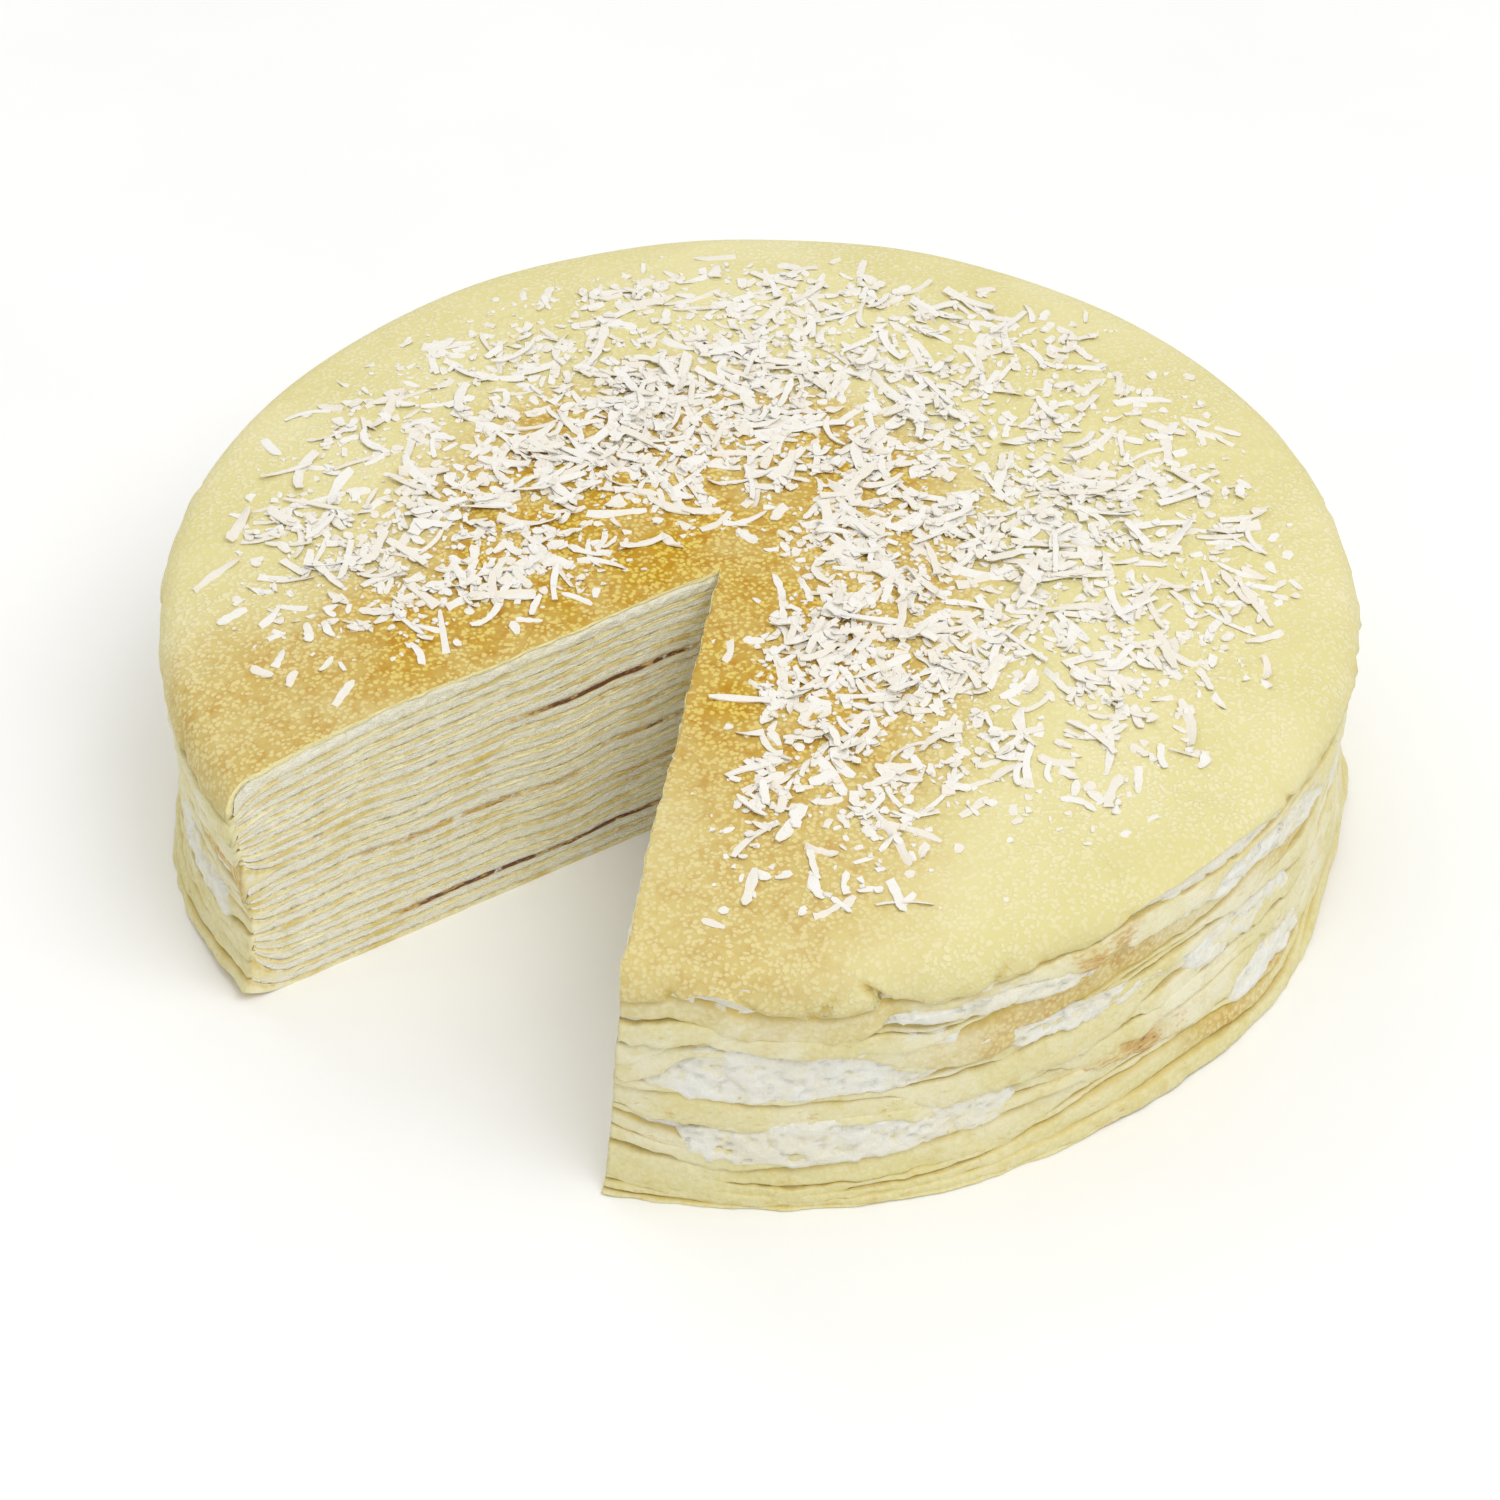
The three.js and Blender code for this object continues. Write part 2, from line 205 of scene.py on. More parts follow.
# Where the top crepe's lower edge is higher: direction and half width in degrees, height in mm.
DRAPE_LIFTS = (
    (316, 16, 3.6),
    (264, 5, 2.2),
    (282, 4, 1.4),
)
# Where the top crepe is drawn in: direction and half width in degrees, depth in mm.
DRAPE_DENTS = (
    (263, 4, 0.9),
    (282, 3, 1.0),
    (298, 4, 0.5),
)
# Waves that bend all layers together: length and height in mm.
SHARED_WAVES = (
    (46, 0.17),
    (29, 0.1),
    (17, 0.05),
)

# Bands that stand out on the side: layer, direction and half width in degrees, height in mm.
BANDS = (
    (25, 272, 17, 9.5),
    (15, 273, 18, 5.5),
    (20, 268, 26, 3.8),
    (36, 271, 26, 4.2),
    (30, 300, 24, 7.5),
    (35, 286, 9, 3.2),
    (37, 318, 14, 4.5),
    (28, 330, 14, 5.5),
    (22, 306, 22, 3.2),
    (23, 328, 9, 2.8),
    (8, 284, 30, 4.2),
    (4, 312, 22, 4.0),
    (9, 326, 9, 4.0),
    (12, 318, 16, 3.0),
    (20, 208, 18, 5.5),
    (19, 206, 12, 2.0),
    (32, 196, 22, 4.5),
    (12, 200, 20, 4.0),
    (2, 205, 22, 3.6),
    (26, 20, 26, 5.0),
    (18, 62, 24, 5.2),
    (31, 95, 16, 5.0),
    (10, 120, 28, 5.2),
    (28, 150, 24, 5.0),
    (7, 20, 18, 3.4),
)
print(len(BANDS), "bands stand out, the tallest", max(mm for *_, mm in BANDS), "mm high")


# %% Heights inside the cake
def top_height(x, y):
    """The cake's top: a low dome, minus a droop past 72 mm from the axis, plus slow waves."""
    r = np.hypot(x, y)
    past = np.maximum(0, r - DROOP_START) / DROOP_SPAN
    wave = 0.35 * across_noise(101, x, y)
    return TOP_HEIGHT + DOME_RISE * (1 - (r / CAKE_RADIUS) ** 2) - DROOP_DEPTH * past**2 + wave


def inner_heights(x, y):
    """Heights of all boundaries at points inside: layer thicknesses, made to fill the height.
    A slow wave that drifts from layer to layer then bends neighbouring layers together."""
    steps = []
    for i in range(LAYERS):
        slow = across_noise(i, x, y)
        fine = across_noise(i, x, y, first=5.0, step=7.0, key=60)
        if i % 2 == 0:
            thick = CREPE_THICKNESS * (1 + 0.12 * slow + 0.06 * fine)
        else:
            thick = CREAM_THICKNESS * (0.85 + 0.3 * hashed(i, 7) + 0.24 * slow + 0.08 * fine)
        if i == LAYERS - 2:
            thick = thick + TOP_CREAM_EXTRA
        steps.append(np.maximum(thick, 0.45))
    steps = np.stack(steps, axis=-1)
    scale = top_height(x, y) / steps.sum(axis=-1)
    heights = np.concatenate([np.zeros_like(steps[..., :1]), np.cumsum(steps, axis=-1)], axis=-1)
    heights = heights * scale[..., None]
    j = np.arange(LAYERS + 1)
    for q, (wave_length, mm) in enumerate(SHARED_WAVES):
        heading = TURN * hashed(90, q)
        along = (x * np.cos(heading) + y * np.sin(heading))[..., None]
        bend = np.sin(TURN * along / wave_length + 0.17 * (q + 1) * j + TURN * hashed(91, q))
        heights = heights + mm * bend * np.sin(np.pi * j / LAYERS)
    return heights


print("height in the middle:", round(float(inner_heights(np.zeros(1), np.zeros(1))[0, -1]), 2), "mm")


# %% Heights and radii at the side
def drape_edge(theta):
    """Lower edge of the top crepe where it hangs over the side, higher at a few creases."""
    degrees = np.degrees(theta)
    z = DRAPE_EDGE + 1.2 * around_noise(102, theta)
    for centre, width, mm in DRAPE_LIFTS:
        z = z + mm * hump(degrees, centre, width)
    return z


def foot_lift(theta):
    """How far the bottom crepe's edge lifts: a ruffle of waves that grows and fades around."""
    wave = 0.5 - 0.5 * np.cos(10.6 * (theta - math.radians(275)))
    lift = FOOT_RUFFLE * wave * (0.55 + 0.45 * np.cos(3 * theta + 1.1))
    return np.maximum(0, lift) * (1 - 0.6 * hump(np.degrees(theta), 275, 8))


def edge_heights(theta):
    """Heights of boundaries 0 to 38 at the outer edge. Every layer gets a least height, the named
    bands get theirs, and what is left is shared out unevenly."""
    count = LAYERS - 1
    degrees = np.degrees(theta)
    low = foot_lift(theta)
    high = drape_edge(theta)
    extra = np.zeros(theta.shape + (count,))
    for i, centre, width, mm in BANDS:
        extra[..., i] += mm * hump(degrees, centre, width)
    shares = [(1.5 if i % 2 == 0 else 0.5) * np.exp(1.1 * around_noise(i, theta)) for i in range(count)]
    shares = np.stack(shares, axis=-1)
    room = high - low - count * LEAST_EDGE
    asked = extra.sum(axis=-1)
    grant = np.minimum(1, 0.9 * room / np.maximum(asked, 1e-6))
    rest = room - asked * grant
    steps = LEAST_EDGE + extra * grant[..., None] + rest[..., None] * shares / shares.sum(-1, keepdims=True)
    return low[..., None] + np.concatenate([np.zeros_like(steps[..., :1]), np.cumsum(steps, -1)], -1)


def side_radius(theta, z):
    """Radius of the side: drawn in at the waist, flared at the foot, and a little out of round."""
    waist = WAIST_INSET * np.sin(np.pi * np.clip(z / 50, 0, 1)) ** 0.8
    foot = FOOT_FLARE * np.exp(-z / 4)
    uneven = 0.45 * np.cos(5 * theta + 0.7) + 0.35 * np.cos(9 * theta + 0.11 * z)
    return CAKE_RADIUS - 0.6 - waist + foot + uneven


def drape_radius(j, theta):
    """Radius of the hanging skin's outer face (j = 39) or inner face (j = 38), with a few dents."""
    degrees = np.degrees(theta)
    inset = 0 if j == LAYERS else DRAPE_THICKNESS
    dents = sum(mm * hump(degrees, centre, width) for centre, width, mm in DRAPE_DENTS)
    return CAKE_RADIUS + 0.25 * np.cos(5 * theta + 0.7) - dents - inset


def rim_of(j, theta):
    """Radius and height where boundary j ends."""
    if j >= LAYERS - 1:
        return drape_radius(j, theta), drape_edge(theta)
    z = edge_heights(theta)[..., j]
    limit = drape_radius(LAYERS - 1, theta) - 0.1 if j > LAYERS - 5 else CAKE_RADIUS + 5
    return np.minimum(side_radius(theta, z), limit), z


def boundary_heights(j, x, y):
    """Height of boundary j at points: its inner height, less a droop that starts a little inside the
    edge. The two top boundaries fall in a rounded shoulder, the others in a parabola."""
    theta = np.arctan2(y, x)
    rim, edge_z = rim_of(j, theta)
    inside = top_height(x, y) if j == LAYERS else inner_heights(x, y)[..., j]
    if j >= LAYERS - 1:
        width = SHOULDER_WIDTH - (0 if j == LAYERS else DRAPE_THICKNESS)
        t = np.clip(1 - (rim - np.hypot(x, y)) / width, 0, 1)
        fall = 1 - (1 - t**SHOULDER_POWER) ** (1 / SHOULDER_POWER)
    else:
        t = np.clip(1 - (rim - np.hypot(x, y)) / RIM_ZONE, 0, 1)
        fall = t * t
    return inside - (inside - edge_z) * fall


print("lower edge of the top crepe:", np.round(drape_edge(np.radians([264.0, 290.0, 316.0])), 1), "mm up")


# %% [markdown]
# ## One layer as a closed surface
#
# A layer's wall is a strip that follows the outline: out from the slice's tip along the right cut,
# round the side, and back along the left cut. Its rows climb from the lower to the upper boundary.
# The lid and the floor of the layer are hidden between its neighbours, so rings with fewer and fewer
# points lead from the outline to one middle point, and a zip of triangles joins rings that differ.

# %% The outline
CUT_STEP = 0.7
RIM_STEP = 0.7


def reach_of(direction, radius):
    """Distance from the slice's tip, in a direction, to a circle about the cake's axis."""
    along = TIP[0] * np.cos(direction) + TIP[1] * np.sin(direction)
    return -along + np.sqrt(along**2 - TIP @ TIP + radius**2)


def from_tip(direction, reach):
    """The point at a distance from the slice's tip in a direction."""
    return TIP[0] + reach * np.cos(direction), TIP[1] + reach * np.sin(direction)


def angle_about_axis(direction):
    """The angle about the cake's axis that a direction from the tip leads to."""
    x, y = from_tip(direction, CAKE_RADIUS)
    return np.arctan2(y, x)


def outline_columns():
    """The outline's columns as three arrays: share across the cake from the right cut (0) to the left
    cut (1), share of the way from the tip to the side, and distance walked along the outline."""
    reach_right = float(reach_of(RIGHT_CUT, CAKE_RADIUS))
    reach_left = float(reach_of(LEFT_CUT, CAKE_RADIUS))
    n_right = int(reach_right / CUT_STEP)
    n_left = int(reach_left / CUT_STEP)
    n_rim = int((TURN - (RIGHT_CUT - LEFT_CUT)) * CAKE_RADIUS / RIM_STEP)
    out = np.arange(n_right) / n_right
    back = 1 - np.arange(1, n_left) / n_left
    around = np.arange(n_rim + 1) / n_rim
    across = np.concatenate([np.zeros(n_right), around, np.ones(n_left - 1)])
    share = np.concatenate([out, np.ones(n_rim + 1), back])
    walked = np.concatenate([out * reach_right, reach_right + around * n_rim * RIM_STEP,
                             reach_right + n_rim * RIM_STEP + (1 - back) * reach_left])
    return across, share, walked


ACROSS, SHARE, WALKED = outline_columns()
ON_RIM = (SHARE >= 1).astype(float)
print(len(ACROSS), "columns along the outline")


def direction_of(across, height):
    """Direction from the tip: the right cut leans, so its direction depends on the height."""
    start = RIGHT_CUT - RIGHT_CUT_LEAN * (1 - height / TOP_HEIGHT)
    return start + (LEFT_CUT + TURN - start) * across


def cut_distance(x, y, direction):
    """Distance to a cut's line, and how far along the line the nearest point is."""
    along_x, along_y = math.cos(direction), math.sin(direction)
    along = np.maximum(0, (x - TIP[0]) * along_x + (y - TIP[1]) * along_y)
    return np.hypot(x - TIP[0] - along * along_x, y - TIP[1] - along * along_y), along


def cut_normals(on_right):
    """Level vectors that point out of the right cut's face where on_right says so, or else the left's."""
    right = [[math.sin(RIGHT_CUT), -math.cos(RIGHT_CUT)]]
    left = [[-math.sin(LEFT_CUT), math.cos(LEFT_CUT)]]
    return np.where(on_right[:, None], right, left)


def outline_points(j, across, share):
    """Points of boundary j's outline: along each direction, a share of the way to the rim."""
    direction = direction_of(across, TOP_HEIGHT * j / LAYERS)
    theta = angle_about_axis(direction)
    rim, edge_z = rim_of(j, theta)
    reach = reach_of(direction, rim) * share
    x, y = from_tip(direction, reach)
    z = np.where(share >= 1, edge_z, boundary_heights(j, x, y))
    if 0 < j < LAYERS - 1:
        side = np.where(across < 0.5, 0.0, 300.0)
        ragged = 0.24 * layered_noise(reach / 2.2 + side, 7.7 * j + 0 * reach, 0 * reach, 31, 3)
        torn = 0.35 * value_noise(theta * 55, 3.3 * j, 0, 32)
        z = z + np.where(share >= 1, torn * smooth_step(0.3, 2, z), ragged)
    return np.stack([x, y, z], axis=-1)


# %% Zips, walls and lids
def zip_rings(outer, inner, outer_at, inner_at):
    """Triangles between two polylines of vertex numbers, walked together by how far along each point
    is. Each segment of one side meets the point that the other side has reached by its middle."""
    outer_mid = 0.5 * (outer_at[1:] + outer_at[:-1])
    inner_mid = 0.5 * (inner_at[1:] + inner_at[:-1])
    reached_in = inner[np.searchsorted(inner_mid, outer_mid, side="left")]
    reached_out = outer[np.searchsorted(outer_mid, inner_mid, side="right")]
    first = np.stack([outer[:-1], outer[1:], reached_in], axis=-1)
    second = np.stack([inner[1:], inner[:-1], reached_out], axis=-1)
    return np.concatenate([first, second])


def cell_faces(a, b, c, d):
    """Two triangles for each cell, given the numbers of its four corners in turn."""
    return np.concatenate([np.stack([a, b, c], -1).reshape(-1, 3), np.stack([a, c, d], -1).reshape(-1, 3)])


def open_faces(grid):
    """Triangles of a grid whose rows climb and whose columns go round."""
    return cell_faces(grid[:-1, :-1], grid[:-1, 1:], grid[1:, 1:], grid[1:, :-1])


def wall_faces(grid):
    """Triangles of a grid that closes on itself: its last column meets its first."""
    after = np.roll(grid, -1, axis=1)
    return cell_faces(grid[:-1], after[:-1], after[1:], grid[1:])


# Rings of a lid: their size as a share of the outline, and one point in so many of the outline's.
LID_SHARES = (0.985, 0.95, 0.86, 0.6)
LID_THINNING = (2, 6, 20, 40)
LID_GAP = 0.02
MIDDLE_DIRECTION = math.radians(56.5)
MIDDLE = TIP + 40.0 * np.array([math.cos(MIDDLE_DIRECTION), math.sin(MIDDLE_DIRECTION)])
print("lids close on", np.round(MIDDLE, 1))


def lid(j, rim_points, rim_numbers, first_number, lift):
    """A sheet over boundary j inside its outline: rings drawn in towards a middle point that sees
    every side of the cake, each with fewer points. Gives its vertices and its triangles."""
    vertices = []
    faces = []
    ring = np.append(rim_numbers, rim_numbers[0])
    ring_at = np.linspace(0, 1, len(ring))
    number = first_number
    for share, thin in zip(LID_SHARES, LID_THINNING):
        picked = np.arange(0, len(rim_points), thin)
        flat = MIDDLE + share * (rim_points[picked, :2] - MIDDLE)
        z = boundary_heights(j, flat[:, 0], flat[:, 1]) + lift
        vertices.append(np.column_stack([flat, z]))
        inner = number + np.arange(len(picked))
        number += len(picked)
        inner = np.append(inner, inner[0])
        inner_at = np.append(picked, len(rim_points)) / len(rim_points)
        faces.append(zip_rings(ring, inner, ring_at, inner_at))
        ring, ring_at = inner, inner_at
    z = boundary_heights(j, MIDDLE[None, 0], MIDDLE[None, 1]) + lift
    vertices.append(np.array([[MIDDLE[0], MIDDLE[1], z[0]]]))
    faces.append(np.column_stack([ring[:-1], ring[1:], np.full(len(ring) - 1, number)]))
    return np.concatenate(vertices), np.concatenate(faces)


# %% Meshes from arrays
def make_piece(name, vertices, faces, attributes, smooth=True):
    """A mesh object at the origin from points in mm and triangles; attributes are per point."""
    mesh = bpy.data.meshes.new(name)
    mesh.vertices.add(len(vertices))
    mesh.vertices.foreach_set("co", (np.asarray(vertices) * MM).astype(np.float32).ravel())
    faces = np.asarray(faces, dtype=np.int32)
    mesh.loops.add(faces.size)
    mesh.loops.foreach_set("vertex_index", faces.ravel())
    mesh.polygons.add(len(faces))
    mesh.polygons.foreach_set("loop_start", np.arange(0, faces.size, 3, dtype=np.int32))
    mesh.polygons.foreach_set("loop_total", np.full(len(faces), 3, dtype=np.int32))
    mesh.polygons.foreach_set("use_smooth", np.full(len(faces), smooth))
    for key, values in attributes.items():
        layer = mesh.attributes.new(key, "FLOAT", "POINT")
        layer.data.foreach_set("value", np.asarray(values, dtype=np.float32))
    mesh.update()
    mesh.validate()
    piece = bpy.data.objects.new(name, mesh)
    bpy.context.scene.collection.objects.link(piece)
    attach(piece, "root")
    return piece


# %% [markdown]
# ## Walls with relief
#
# At the side a crepe's edge hangs down a little over its neighbours as a thin lip, and tucks in under
# the lip above. Cream bulges between two crepes and is rough where the spatula left it. On the cut
# faces the knife has drawn the crepes out a little, and the cream lies a little lower or higher.

# %% Relief of a crepe's wall
# The lip's profile, from the lower boundary round the hanging edge to the upper boundary: share of
# the height, share of how far the lip stands out, and share of how far it hangs.
LIP_PROFILE = np.array([
    (0.00, 0.00, 0.00),
    (0.03, 0.28, 0.45),
    (0.06, 0.42, 0.85),
    (0.10, 0.75, 1.00),
    (0.16, 1.00, 0.92),
    (0.22, 1.04, 0.72),
    (0.30, 0.98, 0.47),
    (0.40, 0.92, 0.24),
    (0.50, 0.85, 0.06),
    (0.62, 0.70, 0.00),
    (0.75, 0.45, 0.00),
    (0.88, 0.12, 0.00),
    (1.00, -0.35, 0.00),
])
LONGEST_LIP = 5.4
# A lip doesn't cover a band of the table above that is at least this high.
KEPT_BAND = 3.0
print(len(LIP_PROFILE), "rows in the wall of a crepe")


def lip_strength(i, theta):
    """How much of crepe i's edge hangs out round the cake, 0 to 1: it does for about half of it."""
    wave = 0.75 * around_noise(200 + i, theta) + 0.5 * value_noise(theta * 6, i * 1.7, 0, 12)
    return smooth_step(-0.3, 0.8, wave)


def lip_room(i, theta):
    """How far a lip may hang at each place without covering a tall band."""
    heights = edge_heights(theta)
    degrees = np.degrees(theta)
    room = np.maximum(0, heights[..., i] - 0.15)
    for band, centre, width, mm in BANDS:
        if band < i and mm >= KEPT_BAND:
            clear = heights[..., i] - heights[..., band + 1] + 0.5
            open_side = 1 - smooth_step(0.05, 0.5, hump(degrees, centre, width, 1.0))
            room = np.minimum(room, clear + (LONGEST_LIP + 2) * open_side)
    return np.maximum(room, 0)


def crepe_wall(i, low, high, theta):
    """Rows of points from the lower to the upper boundary of a crepe. On the rim they follow the lip's
    profile, with a torn edge and small lumps; on the cuts they are pushed out of the face by noise."""
    share, out, hang = (column[:, None] for column in LIP_PROFILE.T)
    rows = low[None] + (high - low)[None] * share[..., None]
    strength = lip_strength(i, theta)
    torn = 0.5 * value_noise(theta * 22, i, 0, 11) + 0.3 * value_noise(theta * 70, i, 0, 13)
    length = 0.3 + LONGEST_LIP * strength * (0.85 + 0.3 * torn) + 0.35 * torn
    drop = np.clip(length, 0.1, np.maximum(lip_room(i, theta), 0.1)) if i else 0 * theta
    reach = 0.45 + 1.0 * strength + 0.3 * value_noise(theta * 15, i * 3.1, 0, 5)
    lumps = layered_noise(theta * 26, rows[..., 2] / 3 - hang * drop / 3, 0 * theta, 8 + i, 3)
    radial = (out * reach + 0.45 * lumps * np.clip(out, 0.15, 1)) * ON_RIM
    rows[..., 0] += radial * np.cos(theta)
    rows[..., 1] += radial * np.sin(theta)
    rows[..., 2] = np.maximum(rows[..., 2] - hang * drop * ON_RIM, 0.0)
    return push_cut(rows, share, i, 0.1, 0.2, 3.0)


def push_cut(rows, v, i, mean, spread, grain):
    """Moves the rows out of the two cut faces by a mean and a noise, least at the layer's two edges."""
    normal = cut_normals(ACROSS < 0.5)
    reach = SHARE * CAKE_RADIUS
    fade = (1 - ON_RIM) * smooth_step(0, 3, reach) * smooth_step(0, 3, CAKE_RADIUS - reach)
    rounded = np.sin(np.pi * np.clip(v, 0, 1)) ** 0.5
    side = np.where(ACROSS < 0.5, 0.0, 50.0)
    rough = layered_noise(WALKED / grain + side, v * 2.2 + i * 5.3, 0 * WALKED, 21)
    push = (mean * rounded + spread * rough * (0.4 + 0.6 * rounded)) * fade
    rows[..., 0] += push * normal[:, 0]
    rows[..., 1] += push * normal[:, 1]
    return rows


# %% Relief of a cream's wall
SQUEEZED_CREAM = 0.35


def cream_wall(i, low, high, theta):
    """Rows of points between two crepes. On the rim the cream starts tucked in under the crepe above,
    bulges with the height of the band and is rough; on the cuts it is a little rough."""
    tallest = float(np.max((high - low)[:, 2] * ON_RIM))
    count = int(np.clip(tallest / 0.8, 4, 11))
    v = np.linspace(0, 1, count)[:, None]
    rows = low[None] + (high - low)[None] * v[..., None]
    band = (high - low)[:, 2]
    bulge = np.sin(np.pi * v) ** 0.7 * np.clip(0.1 * band, 0.05, 0.7)
    rough = layered_noise(theta * 30, rows[..., 2] * 0.5, 0 * theta, 33 + i, 4)
    amount = smooth_step(0.8, 3.5, band)
    radial = (-0.35 + bulge + rough * (0.12 + 1.2 * amount * np.sin(np.pi * v) ** 0.5)) * ON_RIM
    rows[..., 0] += radial * np.cos(theta)
    rows[..., 1] += radial * np.sin(theta)
    squeezed = SQUEEZED_CREAM if i == LAYERS - 2 else 0.0
    return push_cut(rows, v, i, squeezed - 0.08, 0.32 + squeezed, 2.2)


# %% [markdown]
# ## Where the crepes are browned
#
# A crepe is browned most near its middle, on the face that met the pan first. On the cuts that face
# shows as a thin brown line near the tip. At the side a few crepes turn their browned face outwards,
# and cream is smeared over some edges. The tables give these places, and noise in the materials
# breaks them up.

# %% Browned places
# Lines on the left cut: crepe, start and end in mm from the tip, strength.
BROWN_LINES = (
    (3, 12, 78, 1.2),
    (2, 12, 36, 0.6),
    (6, 10, 30, 0.55),
    (7, 8, 32, 0.7),
    (9, 30, 90, 0.62),
    (10, 6, 36, 0.66),
    (12, 5, 26, 0.5),
    (14, 4, 30, 0.55),
    (15, 6, 54, 1.05),
    (16, 5, 24, 0.5),
)
# Stretches of the side: crepe, direction, half width in degrees, golden, brown.
SIDE_TINTS = (
    (16, 300, 19, 0.65, 0.0),
    (19, 271, 24, 0.2, 0.0),
    (18, 286, 9, 0.15, 0.05),
    (19, 302, 5, 0.2, 0.42),
    (15, 330, 12, 0.35, 0.12),
    (7, 306, 9, 0.35, 0.5),
    (3, 320, 8, 0.6, 0.36),
    (4, 331, 6, 0.4, 0.36),
    (11, 208, 14, 0.7, 0.2),
    (13, 340, 10, 0.4, 0.2),
    (10, 30, 14, 0.5, 0.25),
    (16, 70, 16, 0.5, 0.2),
    (6, 110, 12, 0.45, 0.3),
    (14, 150, 16, 0.5, 0.2),
    (9, 185, 10, 0.4, 0.25),
)
# Smears of cream at the side: direction, half width in degrees, height, half height in mm, and how
# much the height falls for each degree.
SMEARS = (
    (274, 16.5, 31.5, 8.5, -0.05),
    (278, 18, 14.5, 6, -0.05),
    (292, 12, 43.5, 4.2, 0.12),
    (265.5, 5, 49.5, 4.0, 0.1),
    (300, 12, 30.5, 2.8, 0.1),
    (318, 13, 44, 5.5, 0.12),
    (334, 9, 40, 5, 0.0),
    (322, 10, 26, 4.5, 0.1),
    (327, 8, 10.5, 4, 0.0),
    (351, 12, 33, 6, -0.1),
    (200, 10, 18, 4.5, 0.1),
    (194, 13, 40, 5, 0.1),
    (10, 12, 20, 5, 0.1),
    (40, 14, 36, 5, 0.1),
    (75, 14, 14, 5, -0.1),
    (95, 14, 30, 6, 0.1),
    (135, 12, 41, 4, 0.0),
    (150, 12, 22, 5, 0.1),
    (178, 12, 33, 6, -0.1),
)
print(len(BROWN_LINES), "brown lines,", len(SIDE_TINTS), "tinted stretches,", len(SMEARS), "smears")


def layer_marks(i, rows):
    """Numbers from 0 to about 1 for each point of a layer's wall: on the cut, golden, brown, smeared."""
    theta = np.arctan2(rows[..., 1], rows[..., 0])
    degrees = np.degrees(theta)
    crepe = i // 2 + 1
    golden = np.zeros(theta.shape)
    brown = np.zeros(theta.shape)
    smear = 0.12 + 0.3 * (1 - ON_RIM) + 0 * theta
    reach = SHARE * float(reach_of(LEFT_CUT, CAKE_RADIUS))
    for number, start, end, strength in BROWN_LINES:
        shift = np.where(ACROSS < 0.5, 8 * hashed(number, 3) - 2, 0)
        along = smooth_step(start - 4, start + 6, reach - shift)
        along = along * (1 - smooth_step(end - 16, end + 4, reach - shift))
        brown += strength * along * (1 - ON_RIM) * (number == crepe)
    for number, centre, width, gold, dark in SIDE_TINTS:
        there = hump(degrees, centre, width, 0.5) * ON_RIM * (number == crepe)
        golden += gold * there
        brown += dark * there
    for centre, width, height, half, slope in SMEARS:
        level = height - slope * half_turn_range(degrees - centre)
        near = 1 - np.clip(np.abs(rows[..., 2] - level) / (1.3 * half), 0, 1) ** 2
        smear = np.maximum(smear, 0.5 * near * hump(degrees, centre, 1.1 * width))
    on_cut = np.broadcast_to(1 - ON_RIM, theta.shape)
    return {"on_cut": on_cut, "golden": golden, "brown": brown, "smear": smear}


# %% Layers
def make_layer(i):
    """Builds layer i from its two boundaries: wall, lid and floor, with the numbers that its material
    reads at each point."""
    low = outline_points(i, ACROSS, SHARE)
    high = outline_points(i + 1, ACROSS, SHARE)
    theta = np.arctan2(0.5 * (low[:, 1] + high[:, 1]), 0.5 * (low[:, 0] + high[:, 0]))
    rows = (crepe_wall if i % 2 == 0 else cream_wall)(i, low, high, theta)
    n_rows, n_columns = rows.shape[:2]
    grid = np.arange(n_rows * n_columns).reshape(n_rows, n_columns)
    wall = rows.reshape(-1, 3)
    shares = LIP_PROFILE[:, 0] if i % 2 == 0 else np.linspace(0, 1, n_rows)
    floor_points, floor_faces = lid(i, rows[0], grid[0], len(wall), LID_GAP if i else 0.0)
    lid_points, lid_faces = lid(i + 1, rows[-1], grid[-1], len(wall) + len(floor_points), -LID_GAP)
    vertices = np.concatenate([wall, floor_points, lid_points])
    faces = np.concatenate([wall_faces(grid), floor_faces[:, ::-1], lid_faces])
    marks = layer_marks(i, rows)
    marks["height_share"] = np.broadcast_to(shares[:, None], (n_rows, n_columns))
    hidden = np.zeros(len(floor_points) + len(lid_points))
    marks = {key: np.concatenate([values.ravel(), hidden]) for key, values in marks.items()}
    return vertices, faces, marks


layer_pieces = {}
for i in range(LAYERS - 1):
    vertices, faces, marks = make_layer(i)
    node = f"{'crepe' if i % 2 == 0 else 'cream'}_{i // 2 + 1:02d}"
    piece = make_piece(f"{node}_edge", vertices, faces, marks)
    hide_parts(node)
    layer_pieces[node] = piece
print(len(layer_pieces), "layers,", sum(len(p.data.polygons) for p in layer_pieces.values()), "triangles")

# %% [markdown]
# ## Smears of cream
#
# Where the spatula or a hand touched the side, cream covers the crepes' edges in ragged patches. Each
# patch is a thin cushion whose outer face is rough. Its thickness is a flat dome plus a strong noise:
# where the sum falls below zero the cushion dips under the crepes, so its outline comes out torn by
# itself.

# %% Smears
SMEAR_CELL = 0.5
SMEAR_DEPTH = 4.0
SMEAR_THICKEST = 0.35
# A smear that reaches up past this height stays behind the hanging top crepe.
UNDER_DRAPE = 44


